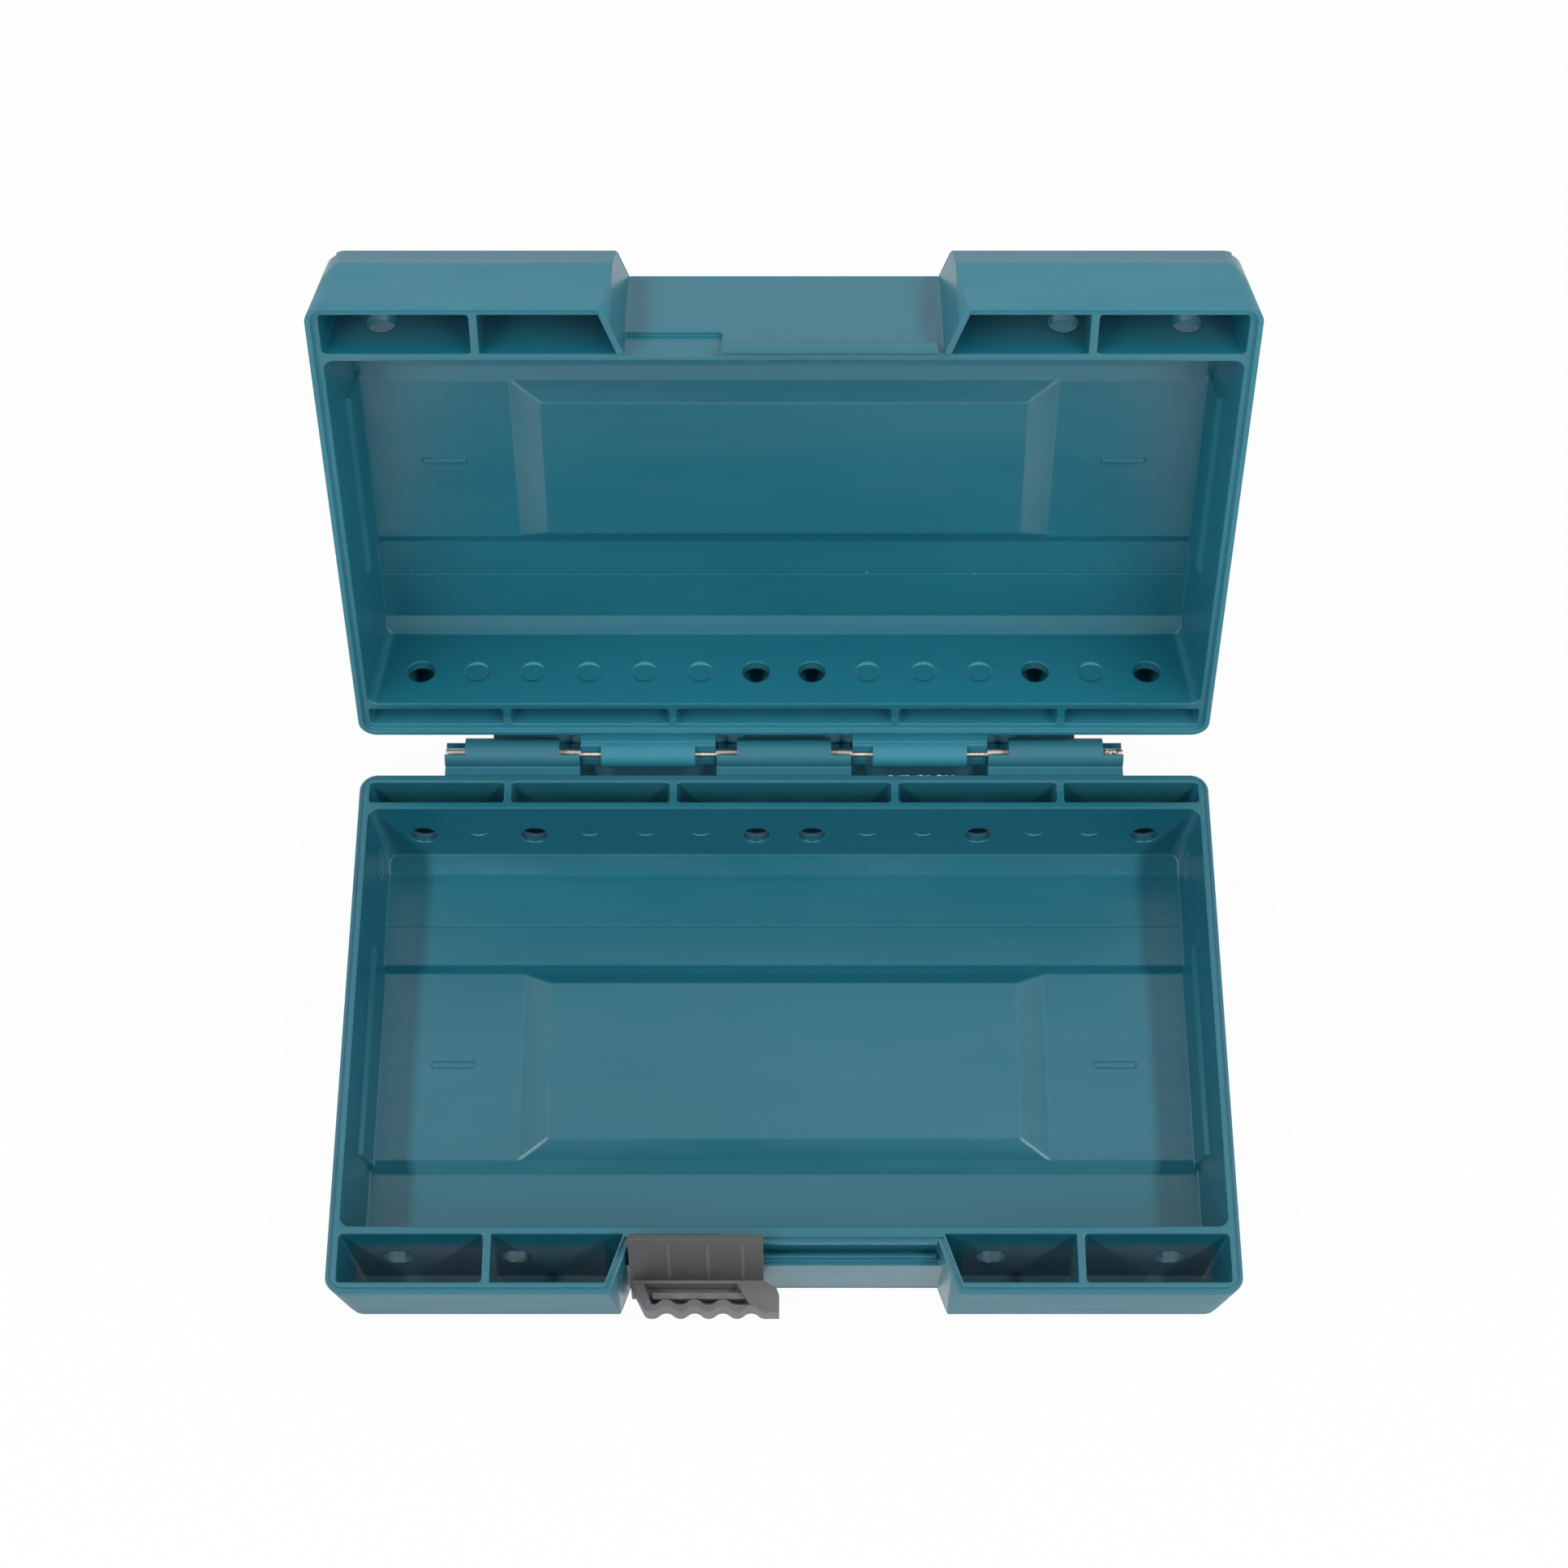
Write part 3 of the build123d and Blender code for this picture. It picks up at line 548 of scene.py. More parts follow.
# Painted highlight: a pale finish for glints behind the base's rim.
PALE_GLINT = replace(
    BASE_PLASTIC,
    name="pale_glint",
    dark=(0.36, 0.46, 0.47),
    light=(0.66, 0.72, 0.70),
    edge_highlight=(0.75, 0.80, 0.78),
    outer_light_gain=1.0,
    edge_radius=0.1 * MM,
)
LATCH_PLASTIC = Moulded(
    name="latch_plastic",
    dark=(0.042, 0.041, 0.043),
    light=(0.056, 0.055, 0.057),
    edge_highlight=(0.200, 0.198, 0.202),
    # Painted light: the lighter tone of the latch's grip.
    second=(0.185, 0.183, 0.187),
    outer_light_gain=1.0,
    inner_roughness=(0.50, 0.62),
    outer_roughness=(0.50, 0.62),
    inner_skin=Skin.SOFT,
    outer_skin=Skin.SOFT,
    edge_radius=0.4 * MM,
    grain_scale=1500.0,
)
LATCH_HIGHLIGHT_MARK = replace(
    LATCH_PLASTIC, name="latch_mark", dark=(0.075, 0.073, 0.076), light=(0.095, 0.093, 0.096)
)
PIN_STEEL = Steel(
    name="pin_steel",
    dark=(0.66, 0.58, 0.54),
    light=(0.93, 0.88, 0.85),
    peened=(0.20, 0.17, 0.14),
    roughness=(0.38, 0.52),
    peened_from=90.4 * MM,
)


def grid_faces(rows: int, columns: int, closed_rows: bool, closed_columns: bool) -> np.ndarray:
    """Four-sided faces between the points of a grid, row by row.

    Args:
        rows: Number of rows of points.
        columns: Number of points in a row.
        closed_rows: Whether the last row joins the first.
        closed_columns: Whether the last column joins the first.

    Returns:
        Corner numbers of each face, one face to a line.
    """
    row = np.arange(rows if closed_rows else rows - 1)[:, None]
    column = np.arange(columns if closed_columns else columns - 1)[None, :]
    right = (column + 1) % columns
    down = (row + 1) % rows
    corners = (row * columns + column, down * columns + column, down * columns + right, row * columns + right)
    return np.stack([np.broadcast_to(corner, (row.size, column.size)) for corner in corners], axis=-1).reshape(-1, 4)


def copies(faces: np.ndarray, count: int, points: int) -> np.ndarray:
    """The same faces once for each of several blocks of points."""
    return (faces[None] + (np.arange(count) * points)[:, None, None]).reshape(-1, faces.shape[1])


def turned_open(points: np.ndarray, pivot: Vector, angle: float) -> np.ndarray:
    """Points turned about the hinge, an axis along X, from the closed place to the open one.

    Args:
        points: Places with the lid closed, one to a line.
        pivot: A point of the axis.
        angle: Angle of the turn in radians.

    Returns:
        Places with the lid open.
    """
    y = points[:, 1] - pivot.y
    z = points[:, 2] - pivot.z
    cos, sin = math.cos(angle), math.sin(angle)
    return np.stack([points[:, 0], pivot.y + y * cos + z * sin, pivot.z - y * sin + z * cos], axis=1)


def beads(
    paths: np.ndarray, radii: np.ndarray, out: np.ndarray, flat: float, sides: int = 10
) -> tuple[np.ndarray, list[list[int]]]:
    """Closed beads, one along each path.

    Each ring is a path's point plus its radius times the sum of two parts: the cosine of the turn
    times the sideways way, and flat times the sine of the turn times the outward way. A point past
    each end closes the bead.

    Args:
        paths: Points of each path, by path, point and axis.
        radii: Radius at each point, by path and point.
        out: Unit way out of the face that the beads lie on.
        flat: Height of a bead as a share of half its width.
        sides: Number of points round a ring.

    Returns:
        Points of all the beads, and their faces.
    """
    along = np.gradient(paths, axis=1)
    along = along / np.linalg.norm(along, axis=2, keepdims=True)
    side = np.cross(along, out)
    turn = np.linspace(0, 2 * math.pi, sides, endpoint=False)
    ring = np.cos(turn)[:, None] * side[:, :, None, :] + flat * np.sin(turn)[:, None] * out
    rings = paths[:, :, None, :] + radii[:, :, None, None] * ring
    first = paths[:, :1] - along[:, :1] * radii[:, :1, None] / 2
    last = paths[:, -1:] + along[:, -1:] * radii[:, -1:, None] / 2
    count, rows = radii.shape
    points = np.concatenate([rings.reshape(count, -1, 3), first, last], axis=1)
    column = np.arange(sides)
    right = (column + 1) % sides
    pole = np.full(sides, rows * sides)
    bottom = (rows - 1) * sides
    first_fan = np.stack([pole, right, column], axis=1)
    last_fan = np.stack([pole + 1, bottom + column, bottom + right], axis=1)
    fans = np.concatenate([first_fan, last_fan])
    walls = grid_faces(rows, sides, False, True)
    faces = copies(walls, count, points.shape[1]).tolist() + copies(fans, count, points.shape[1]).tolist()
    return points.reshape(-1, 3), faces


@dataclass
class Studio:
    """The photograph's camera, a pale floor, soft lamps and a white surround."""

    lens: float = 77.71
    place: tuple[float, float, float] = (0.0, -0.43607, 0.86098)
    pitch: float = 60.2247
    shift: float = -0.00254
    strip_power: float = 18.0
    strip_width: float = 0.14
    strip_length: float = 2.4
    strip_place: tuple[float, float, float] = (0.90, -0.9, 1.4)
    sky_strength: float = 0.26
    ceiling_way: tuple[float, float, float] = (0.0, -0.42, 0.91)
    ceiling_edge: tuple[float, float] = (0.78, 0.95)
    ceiling_strength: float = 0.06
    floor_glow: float = 0.96

    def build(self) -> None:
        """Makes the camera, the floor, the lamps and the world."""
        self.camera()
        self.floor()
        self.world()
        self.strip("strip_left", -1)
        self.strip("strip_right", 1)

    def camera(self) -> None:
        """Sets the camera where the photograph was taken from."""
        data = bpy.data.cameras.new("photo")
        data.lens = self.lens
        data.sensor_width = 36.0
        data.shift_y = self.shift
        camera = bpy.data.objects.new("photo", data)
        camera.location = self.place
        camera.rotation_euler = Euler((math.radians(90 - self.pitch), 0, 0))
        bpy.context.scene.collection.objects.link(camera)
        bpy.context.scene.camera = camera

    def strip(self, name: str, side: int) -> None:
        """Hangs one long soft lamp that runs from front to back beside the box.

        Args:
            name: Name of the lamp.
            side: -1 on the left and 1 on the right.
        """
        data = bpy.data.lights.new(name, "AREA")
        data.shape = "RECTANGLE"
        data.size = self.strip_width
        data.size_y = self.strip_length
        data.energy = self.strip_power
        across, along, height = self.strip_place
        lamp = bpy.data.objects.new(name, data)
        lamp.location = (side * across, along, height)
        lamp.rotation_euler = Euler((0, side * math.atan2(across, height), 0))
        bpy.context.scene.collection.objects.link(lamp)

    def floor(self) -> None:
        """Lays the pale floor, white to the camera apart from the object's shadow."""
        side = 4.0
        corners = np.array([(-side, -side, 0), (side, -side, 0), (side, side, 0), (-side, side, 0)])
        mesh = bpy.data.meshes.new("floor")
        mesh.from_pydata(corners.tolist(), [], [(0, 1, 2, 3)])
        floor = bpy.data.objects.new("floor", mesh)
        bpy.context.scene.collection.objects.link(floor)
        material = bpy.data.materials.new("floor")
        material.use_nodes = True
        tree = Tree(material.node_tree)
        shader = material.node_tree.nodes["Principled BSDF"]
        shader.inputs["Base Color"].default_value = (0.93, 0.93, 0.93, 1)
        shader.inputs["Roughness"].default_value = 0.9
        shader.inputs["Specular IOR Level"].default_value = 0.0
        glow = tree.add("ShaderNodeEmission")
        glow.inputs["Strength"].default_value = 1.0
        path = tree.add("ShaderNodeLightPath")
        seen = tree.maths("MAXIMUM", path.outputs["Is Camera Ray"], path.outputs["Is Glossy Ray"])
        seen = tree.maths("MAXIMUM", seen, path.outputs["Is Transmission Ray"])
        mix = tree.add("ShaderNodeMixShader")
        tree.join(tree.maths("MULTIPLY", seen, self.floor_glow), mix.inputs[0])
        tree.join(shader.outputs[0], mix.inputs[1])
        tree.join(glow.outputs[0], mix.inputs[2])
        tree.join(mix.outputs[0], material.node_tree.nodes["Material Output"].inputs["Surface"])
        mesh.materials.append(material)

    def world(self) -> None:
        """Surrounds the scene with white, apart from the dark ceiling above the camera."""
        world = bpy.data.worlds.new("studio")
        bpy.context.scene.world = world
        world.use_nodes = True
        tree = Tree(world.node_tree)
        back = world.node_tree.nodes["Background"]
        toward = tree.add("ShaderNodeVectorMath", operation="DOT_PRODUCT")
        tree.join(tree.add("ShaderNodeTexCoord").outputs["Generated"], toward.inputs[0])
        toward.inputs[1].default_value = self.ceiling_way
        bright = tree.between(toward.outputs["Value"], *self.ceiling_edge, 1.0, self.ceiling_strength)
        path = tree.add("ShaderNodeLightPath")
        mirrored = tree.mixed(path.outputs["Is Glossy Ray"], tree.maths("MULTIPLY", bright, self.sky_strength), bright)
        seen = tree.maths("MAXIMUM", path.outputs["Is Camera Ray"], path.outputs["Is Transmission Ray"])
        back.inputs["Color"].default_value = (1, 1, 1, 1)
        tree.join(tree.mixed(seen, mirrored, 1.0), back.inputs["Strength"])


@dataclass
class Case:
    """The CAD frame that everything sits on, with the places that its pieces share."""

    nodes: dict[str, bpy.types.Object]
    joints: list[dict]
    front: float = field(init=False)
    rim: float = 28.5 * MM
    width: float = 240.0 * MM
    depth: float = 156.0 * MM
    lid_height: float = 32.5 * MM
    wall: float = 2.9 * MM
    pin: float = 85.4 * MM
    pivot: Vector = field(init=False)
    opened: float = field(init=False)

    def __post_init__(self) -> None:
        """Reads the front edge and the hinge from the frame."""
        self.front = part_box("base_shell")[0].y
        hinge = next(joint for joint in self.joints if joint["name"] == "lid_hinge")
        self.pivot = Vector((0, self.from_middle(self.pin), self.rim))
        self.opened = math.radians(hinge["range_deg"][1])

    def from_middle(self, y: float) -> float:
        """Row Y of a place given from the middle of the tray's depth."""
        return self.front + self.depth / 2 + y

    def dress(self, node: str, material: bpy.types.Material) -> None:
        """Gives a CAD node its material in every slot."""
        for slot in self.nodes[node].material_slots:
            slot.material = material
        LOG.info("dressed %s with %s", node, material.name)


@dataclass(frozen=True)
class MarkHeights:
    """Heights of the mould marks of one tray, with the box closed."""

    pegs: float
    sides: float
    floor: float
    peg_depth: float


@dataclass
class Trays:
    """Both tray mouldings with their finish and the marks that the mould left in them."""

    case: Case
    effects: Effects
    peg_pitch: float = 15.8 * MM
    peg_count: int = 14
    peg_radius: float = 3.9 * MM
    peg_wall: float = 66.1 * MM
    wall_reach: float = 1.2 * MM
    side_mark: float = 57.0 * MM
    side_radius: float = 4.6 * MM
    side_depth: float = 0.2 * MM
    side_wall: float = 115.0 * MM
    side_reach: float = 1.6 * MM
    seam: float = 43.5 * MM
    seam_depth: float = 0.06 * MM
    seam_width: float = 0.4 * MM
    floor_reach: float = 0.5 * MM
    front_wall: float = -60.4 * MM
    back_wall: float = 68.0 * MM
    recess_half: float = 47.6 * MM
    skirt: float = 5.6 * MM
    wall_blend: float = 0.6 * MM
    room_shade_start: tuple[float, float] = (3.0 * MM, 11.0 * MM)
    room_shade_depth: float = 26.6 * MM
    room_shade_scale: float = 45.0
    room_shade_share: tuple[float, float] = (0.45, 0.85)
    base_marks: MarkHeights = MarkHeights(15.0 * MM, 13.5 * MM, 2.4 * MM, 0.0)
    lid_marks: MarkHeights = MarkHeights(42.0 * MM, 46.5 * MM, 58.6 * MM, 0.45 * MM)

    def build(self) -> None:
        """Dresses the base and the lid."""
        case = self.case
        room = Vector((case.width / 2 - case.wall, case.depth / 2 - self.skirt, 0))
        middle_y = case.from_middle(0)
        base_low, base_high = 1.0 * MM, case.rim + 1.3 * MM
        lid_low, lid_high = case.rim - 1.0 * MM, case.rim + case.lid_height - 1.0 * MM
        base_middle = Vector((0, middle_y, (base_low + base_high) / 2))
        base_half = Vector((room.x, room.y, (base_high - base_low) / 2))
        lid_middle = Vector((0, middle_y, (lid_low + lid_high) / 2))
        lid_half = Vector((room.x, room.y, (lid_high - lid_low) / 2))
        unturned = 0.0
        base = BASE_PLASTIC.material(
            self.effects, unturned, case.pivot, base_middle, base_half, self.relief(self.base_marks), self.painted_room_shade
        )
        lid = LID_PLASTIC.material(
            self.effects, case.opened, case.pivot, lid_middle, lid_half, self.relief(self.lid_marks), self.painted_room_shade
        )
        case.dress("base_shell", base)
        case.dress("lid_shell", lid)

    def painted_room_shade(self, tree: Tree, closed: bpy.types.NodeSocket) -> bpy.types.NodeSocket:
        """Painted shade in the narrow rooms: a greyer tone that grows with depth below the rim, in front of the main
        room and behind it, broken by a wide noise, standing in for how these shaded rooms look.
        """
        x, y, z = tree.split(closed)
        within_y = self.near(tree, y, self.case.from_middle(0), self.case.depth / 2 - self.skirt)
        outward = tree.maths("ABSOLUTE", x)
        within_x = tree.maths("LESS_THAN", outward, self.case.width / 2 - self.skirt)
        beside = tree.maths("GREATER_THAN", outward, self.recess_half)
        reach = self.wall_blend
        front = self.case.from_middle(self.front_wall)
        back = self.case.from_middle(self.back_wall)
        ahead = tree.maths("MULTIPLY", beside, tree.between(y, front + reach, front - reach))
        behind = tree.between(y, back - reach, back + reach)
        away = tree.maths("ABSOLUTE", tree.maths("SUBTRACT", z, self.case.rim))
        deep = tree.between(away, *self.room_shade_start)
        deep = tree.maths("MULTIPLY", deep, tree.maths("LESS_THAN", away, self.room_shade_depth))
        share = tree.between(tree.noise(closed, self.room_shade_scale, 3.0), 0.3, 0.7, *self.room_shade_share)
        within = tree.maths("MULTIPLY", tree.maths("MULTIPLY", within_x, within_y), deep)
        return tree.maths("MULTIPLY", tree.maths("MULTIPLY", tree.maths("MAXIMUM", ahead, behind), within), share)

    def relief(self, heights: MarkHeights) -> Field:
        """Gives the maker of one tray's mark heights: sunk rounds on the walls and a seam across the floor.

        Args:
            heights: Where the marks are in this tray.

        Returns:
            A function of a tree and the closed place that gives the height to add.
        """

        def height(tree: Tree, closed: bpy.types.NodeSocket) -> bpy.types.NodeSocket:
            """Adds up the marks: minus each mark's depth times its mask."""
            x, y, z = tree.split(closed)
            along_row = tree.maths("FRACT", tree.maths("DIVIDE", x, self.peg_pitch))
            from_peg = tree.maths("MULTIPLY", tree.maths("SUBTRACT", along_row, 0.5), self.peg_pitch)
            from_row = tree.maths("SUBTRACT", z, heights.pegs)
            peg = placed(tree, self.effects.disc, Across=from_peg, Along=from_row, Radius=self.peg_radius).outputs[0]
            on_wall = self.near(tree, y, self.case.from_middle(self.peg_wall), self.wall_reach)
            in_row = self.near(tree, x, 0.0, self.peg_count / 2 * self.peg_pitch)
            peg = tree.maths("MULTIPLY", peg, tree.maths("MULTIPLY", on_wall, in_row))
            from_mark = tree.maths("SUBTRACT", y, self.case.from_middle(self.side_mark))
            above_mark = tree.maths("SUBTRACT", z, heights.sides)
            mark = placed(tree, self.effects.disc, Across=from_mark, Along=above_mark, Radius=self.side_radius)
            on_side = self.near(tree, tree.maths("ABSOLUTE", x), self.side_wall, self.side_reach)
            mark = tree.maths("MULTIPLY", mark.outputs[0], on_side)
            from_seam = tree.maths("SUBTRACT", y, self.case.from_middle(self.seam))
            seam = placed(tree, self.effects.groove, Across=from_seam, Width=self.seam_width).outputs[0]
            seam = tree.maths("MULTIPLY", seam, self.near(tree, z, heights.floor, self.floor_reach))
            total = tree.maths("MULTIPLY", peg, -heights.peg_depth)
            total = tree.maths("SUBTRACT", total, tree.maths("MULTIPLY", mark, self.side_depth))
            return tree.maths("SUBTRACT", total, tree.maths("MULTIPLY", seam, self.seam_depth))

        return height

    def near(self, tree: Tree, value: bpy.types.NodeSocket, middle: float, reach: float) -> bpy.types.NodeSocket:
        """1 where a value is within a reach of a middle, and 0 elsewhere."""
        away = tree.maths("ABSOLUTE", tree.maths("SUBTRACT", value, middle))
        return tree.maths("LESS_THAN", away, reach)


@dataclass
class Fittings:
    """The hinge pin and the latch with their finishes."""

    case: Case
    effects: Effects
    flute_start: float = -34.98 * MM
    flute_pitch: float = 7.5 * MM
    flute_rise: float = 0.22 * MM
    plate_foot: tuple[float, float] = (14.0 * MM, 16.0 * MM)
    grip_top: tuple[float, float] = (15.0 * MM, 13.6 * MM)
    grip_light_scale: float = 120.0
    grip_light_share: tuple[float, float] = (0.7, 1.0)

    def build(self) -> None:
        """Dresses the pin and the latch."""
        self.case.dress("hinge_pin", PIN_STEEL.material(self.effects))
        unturned = 0.0
        latch = LATCH_PLASTIC.material(
            self.effects, unturned, self.case.pivot, NOWHERE, ANY_SIZE, self.plate_flutes, self.grip
        )
        self.case.dress("latch", latch)

    def plate_flutes(self, tree: Tree, closed: bpy.types.NodeSocket) -> bpy.types.NodeSocket:
        """Soft upright waves over the plate, in step with the grip: a cosine of X, none below the grip's top."""
        x, _, z = tree.split(closed)
        turn = tree.maths("MULTIPLY", tree.maths("SUBTRACT", x, self.flute_start), 2 * math.pi / self.flute_pitch)
        wave = tree.maths("MULTIPLY", tree.maths("COSINE", turn), self.flute_rise / 2)
        return tree.maths("MULTIPLY", wave, tree.between(z, *self.plate_foot))

    def grip(self, tree: Tree, closed: bpy.types.NodeSocket) -> bpy.types.NodeSocket:
        """Painted light: 1 on the grip, painted lighter than the plate for the light on its top and broken by a noise,
        and 0 on the plate above it.
        """
        broken_light = tree.between(tree.noise(closed, self.grip_light_scale, 3.0), 0.3, 0.7, *self.grip_light_share)
        return tree.maths("MULTIPLY", tree.between(tree.split(closed)[2], *self.grip_top), broken_light)


@dataclass(frozen=True)
class PegRow:
    """The row of pegs on one tray's back wall: the places with a hole, and the arc that marks the others."""

    body: str
    opened: tuple[int, ...]
    height: float
    radius: float
    thick: float
    middle: float
    skin: Moulded


BASE_PEGS = PegRow("base", (1, 3, 7, 8, 11, 14), 17.9 * MM, 2.9 * MM, 0.5 * MM, -math.pi / 2, BASE_HIGHLIGHT_MARK)
LID_PEGS = PegRow("lid", (1, 7, 8, 12, 14), 42.0 * MM, 3.4 * MM, 0.75 * MM, math.pi / 2, LID_HIGHLIGHT_MARK)


@dataclass
class Marks:
    """Small raised marks as pieces, coloured lighter than their parts as painted highlights: crescents at the closed
    pegs, gate nibs, pale crumbs behind the base's rim as painted glints, and the ridges of the latch.
    """

    case: Case
    effects: Effects
    seed: int = 7
    peg_pitch: float = 15.8 * MM
    peg_count: int = 14
    arc_span: float = math.radians(140)
    arc_points: int = 23
    arc_taper: float = 0.9
    arc_flat: float = 0.4
    bead_end: float = 0.97
    nib_places: tuple[tuple[float, float], ...] = ((23.3, 43.3), (53.5, 43.6), (-105.0, 42.4), (-107.0, 63.7))
    nib_floor: float = 58.6 * MM
    nib_half: float = 0.5 * MM
    nib_thick: float = 0.4 * MM
    nib_flat: float = 0.6
    glint_ends: tuple[float, float] = (29.7 * MM, 47.9 * MM)
    glint_count: int = 26
    glint_half: tuple[float, float] = (0.15, 0.6)
    glint_back: tuple[float, float] = (0.0, 0.08)
    glint_drop: tuple[float, float] = (0.14, 0.3)
    glint_thick: tuple[float, float] = (0.14, 0.28)
    ridge_places: tuple[float, ...] = (-30.3 * MM, -20.0 * MM, -10.9 * MM)
    ridge_ends: tuple[float, float] = (15.2 * MM, 2.2 * MM)
    ridge_thick: float = 0.65 * MM
    ridge_taper: float = 0.35
    ridge_flat: float = 0.35
    plate_x: float = -20.0 * MM
    noise_scale: float = 900.0
    noise_share: float = 0.00001

    def build(self) -> None:
        """Makes every set of marks."""
        self.crescents(BASE_PEGS)
        self.crescents(LID_PEGS)
        self.nibs()
        self.glint_crumbs()
        self.ridges()

    def crescents(self, row: PegRow) -> None:
        """Raised crescents where the wall has no hole: radius tapering as a sine along an arc of a circle."""
        numbers = np.setdiff1d(np.arange(1, self.peg_count + 1), np.array(row.opened))
        x = (numbers - (self.peg_count + 1) / 2) * self.peg_pitch
        share = np.linspace(1 - self.bead_end, self.bead_end, self.arc_points)
        turn = row.middle + (share - 0.5) * self.arc_span
        across = x[:, None] + row.radius * np.cos(turn)
        up = np.broadcast_to(row.height + row.radius * np.sin(turn), across.shape)
        wall = self.wall(row.body, row.height + row.radius * math.sin(row.middle))
        paths = np.stack([across, np.full(across.shape, wall), up], axis=2)
        radii = np.broadcast_to(row.thick * np.sin(math.pi * share) ** self.arc_taper, across.shape)
        surface = beads(paths, radii, np.array((0, -1, 0)), self.arc_flat)
        # Painted highlight: the crescents are coloured lighter than the wall.
        self.piece(f"{row.body}_peg_marks", row.body, row.skin, surface)

    def wall(self, body: str, z: float) -> float:
        """Y of the main room's back wall at a height, found by a ray across the closed tray.

        Args:
            body: Body of the tray.
            z: Height with the box closed.

        Returns:
            Row Y with the box closed.
        """
        start = np.array([[self.peg_pitch, self.case.from_middle(0), z]])
        ahead = start + np.array([[0, 1.0, 0]])
        if body == "lid":
            start = turned_open(start, self.case.pivot, self.case.opened)
            ahead = turned_open(ahead, self.case.pivot, self.case.opened)
        begin, end = Vector(start[0]), Vector(ahead[0])
        return (self.struck(f"{body}_shell", begin, end - begin) - begin).length + self.case.from_middle(0)

    def struck(self, node: str, begin: Vector, way: Vector) -> Vector:
        """Place where a ray first meets a CAD node.

        Args:
            node: Name of the node.
            begin: Start of the ray in the row frame.
            way: Unit way of the ray in the row frame.

        Returns:
            The place in the row frame.
        """
        bpy.context.view_layer.update()
        shape = self.case.nodes[node]
        back = shape.matrix_world.inverted()
        found, place, _, _ = shape.ray_cast(back @ begin, back.to_3x3() @ way)
        if not found:
            raise RuntimeError(f"no face of {node} is met from {tuple(begin)}")
        return shape.matrix_world @ place

    def nibs(self) -> None:
        """Gate nibs on the lid's floor: short beads along X whose radius follows a half circle."""
        places = np.array(self.nib_places) * MM
        share = np.linspace(-self.bead_end, self.bead_end, 13)
        x = places[:, :1] + self.nib_half * share
        y = np.broadcast_to(self.case.from_middle(0) + places[:, 1:], x.shape)
        paths = np.stack([x, y, np.full(x.shape, self.nib_floor)], axis=2)
        radii = np.broadcast_to(self.nib_thick * np.sqrt(1 - share**2), x.shape)
        # Painted highlight: the nibs are coloured lighter, for glints on them.
        self.piece("lid_nibs", "lid", LID_HIGHLIGHT_MARK, beads(paths, radii, np.array((0, 0, -1)), self.nib_flat))

    def glint_crumbs(self) -> None:
        """Pale crumbs behind the base's rim: round beads of random place and size from a fixed seed, painted pale as
        painted glints where light shows through the hinge's gap.
        """
        draw = np.random.default_rng(self.seed)
        share = np.linspace(-self.bead_end, self.bead_end, 9)
        x = np.sort(draw.uniform(*self.glint_ends, self.glint_count))
        half = draw.uniform(*self.glint_half, self.glint_count) * MM
        y = self.case.from_middle(self.case.depth / 2) + draw.uniform(*self.glint_back, self.glint_count) * MM
        z = self.case.rim - draw.uniform(*self.glint_drop, self.glint_count) * MM
        across = x[:, None] + half[:, None] * share
        along, up = (np.broadcast_to(row[:, None], across.shape) for row in (y, z))
        thick = draw.uniform(*self.glint_thick, self.glint_count)[:, None] * MM
        radii = thick * np.sqrt(1 - share**2)
        surface = beads(np.stack([across, along, up], axis=2), radii, np.array((0, 1, 0)), 1.0)
        self.piece("base_glints", "base", PALE_GLINT, surface)

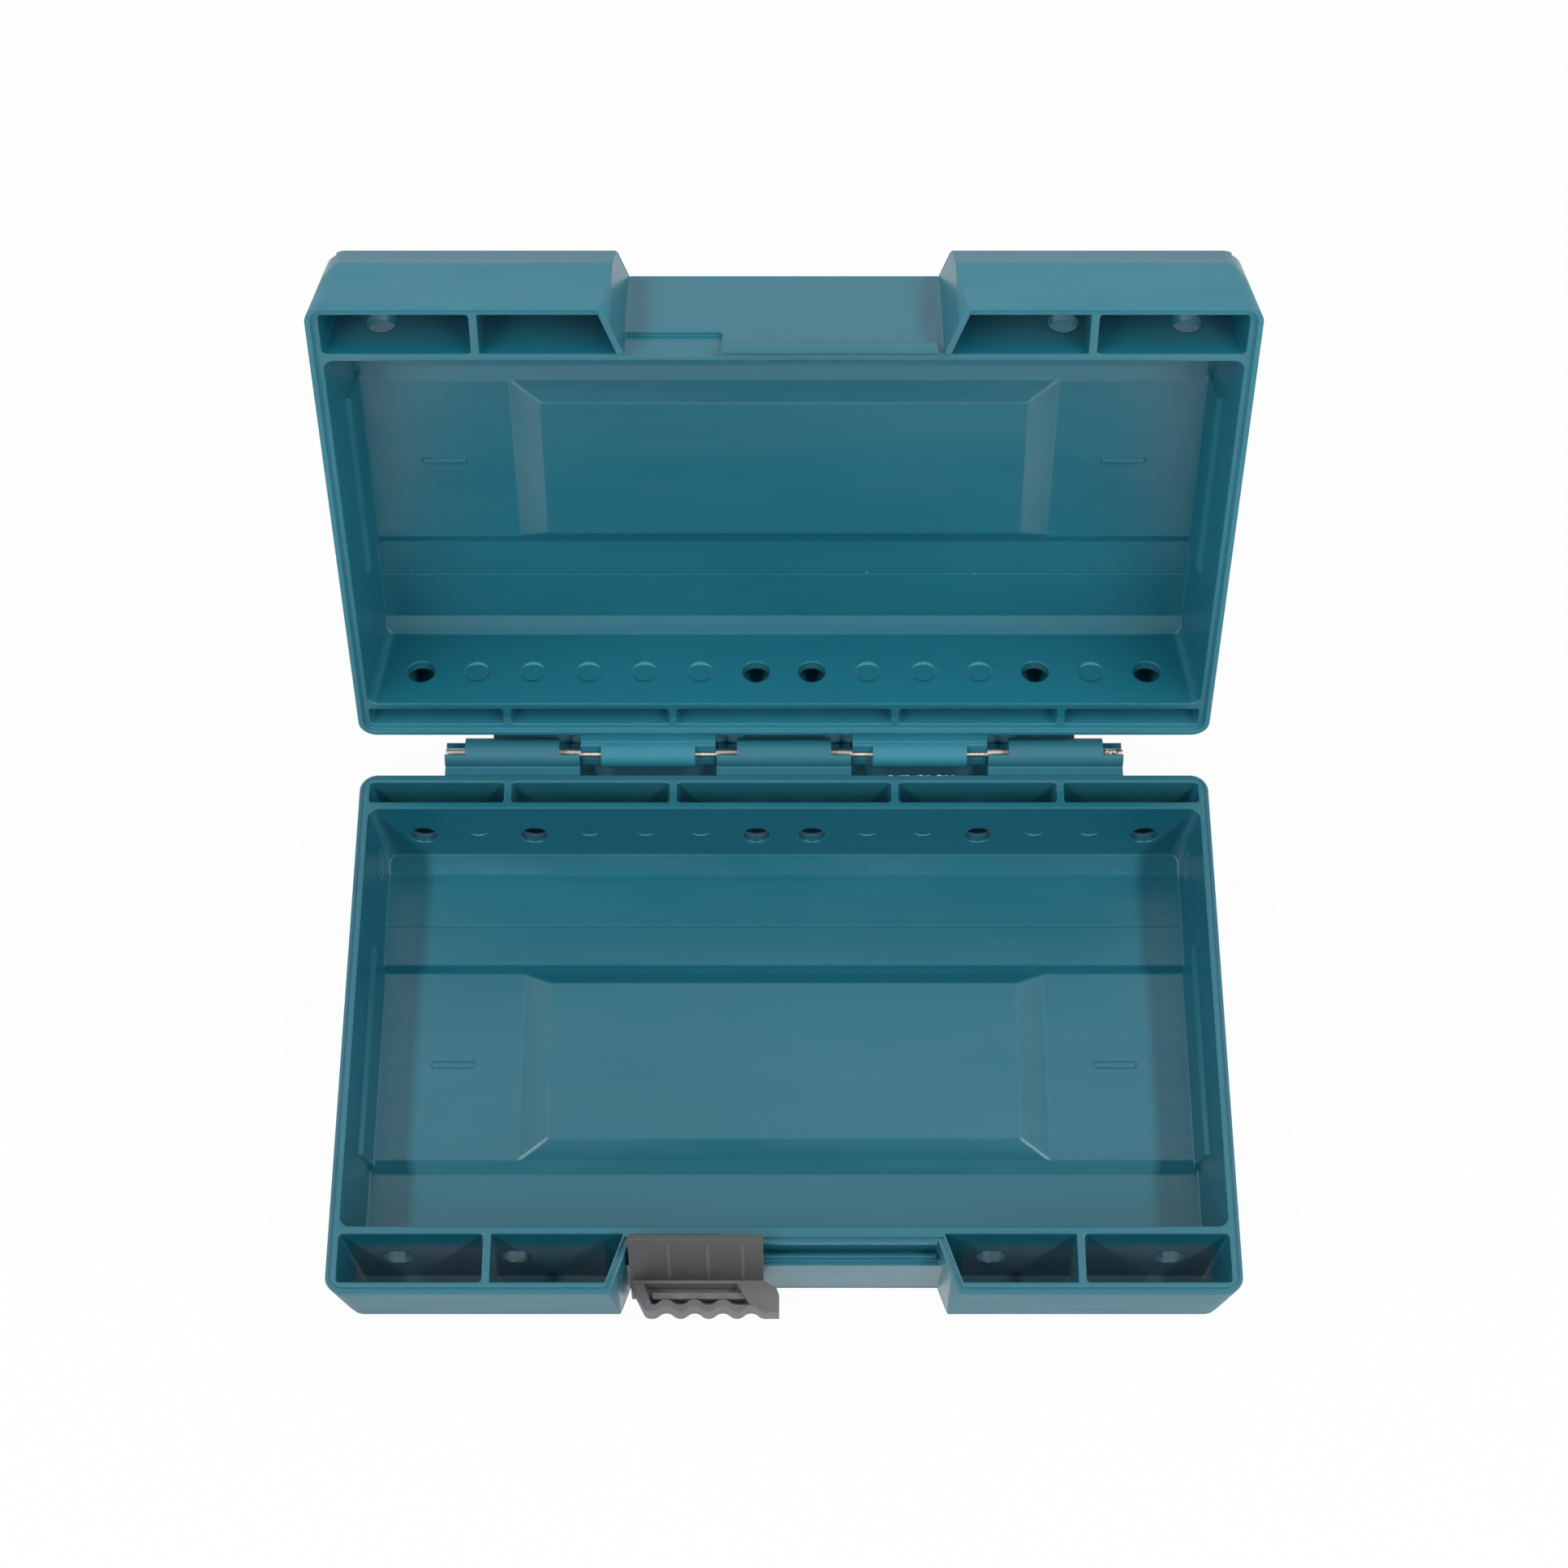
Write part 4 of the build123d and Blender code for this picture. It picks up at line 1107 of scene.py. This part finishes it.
    def ridges(self) -> None:
        """Low upright ridges on the latch's plate: beads laid on its leaning face, tapering as a sine."""
        low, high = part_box("latch")
        x = np.array(self.ridge_places)
        share = np.linspace(0.0, 1.0, 15)
        above_foot, below_top = self.ridge_ends
        start, end = (
            np.array((0.0, self.struck("latch", Vector((self.plate_x, low.y - 10 * MM, z)), Vector((0, 1, 0))).y, z))
            for z in (above_foot, high.z - below_top)
        )
        paths = start + (end - start) * share[None, :, None] + np.stack([x, 0 * x, 0 * x], axis=1)[:, None]
        taper = np.sin(math.pi * (0.04 + 0.92 * share)) ** self.ridge_taper
        radii = np.broadcast_to(self.ridge_thick * taper, paths.shape[:2])
        # Painted highlight: the ridges are coloured lighter, for light streaks on the plate.
        self.piece("latch_ridges", "latch", LATCH_HIGHLIGHT_MARK, beads(paths, radii, np.array((0, -1, 0)), self.ridge_flat))

    def finish(self, name: str, skin: Moulded) -> bpy.types.Material:
        """The marks' own material: a moulding's, with hardly any relief or second tone."""
        named = replace(skin, name=name)
        unturned = 0.0
        return named.material(
            self.effects, unturned, self.case.pivot, NOWHERE, ANY_SIZE, self.fine_noise, self.fine_noise
        )

    def fine_noise(self, tree: Tree, closed: bpy.types.NodeSocket) -> bpy.types.NodeSocket:
        """A very small value that varies, for a height or a share."""
        return tree.maths("MULTIPLY", tree.noise(closed, self.noise_scale, 2.0), self.noise_share)

    def piece(self, name: str, body: str, skin: Moulded, surface: tuple[np.ndarray, list[list[int]]]) -> None:
        """Makes one piece from points in the closed place, with faces outward, and rides it on its body.

        Args:
            name: Name of the piece.
            body: Body that it rides on.
            skin: Finish of its material.
            surface: Points and faces.
        """
        points, faces = surface
        if body == "lid":
            points = turned_open(points, self.case.pivot, self.case.opened)
        mesh = bpy.data.meshes.new(name)
        mesh.from_pydata(points.tolist(), [], faces)
        shape = bmesh.new()
        shape.from_mesh(mesh)
        bmesh.ops.recalc_face_normals(shape, faces=shape.faces)
        shape.to_mesh(mesh)
        shape.free()
        mesh.polygons.foreach_set("use_smooth", np.ones(len(mesh.polygons), dtype=bool))
        mesh.materials.append(self.finish(name, skin))
        mark = bpy.data.objects.new(name, mesh)
        bpy.context.scene.collection.objects.link(mark)
        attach(mark, body)
        LOG.info("made %s with %d faces", name, len(faces))


def main() -> None:
    """Builds the scene in order."""
    logging.basicConfig(level=logging.INFO, format="%(message)s")
    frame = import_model()
    Studio().build()
    effects = Effects()
    case = Case(frame["nodes"], frame["joints"])
    Trays(case, effects).build()
    Fittings(case, effects).build()
    Marks(case, effects).build()
    bpy.context.scene.view_settings.view_transform = "Standard"


if __name__ == "__main__":
    main()
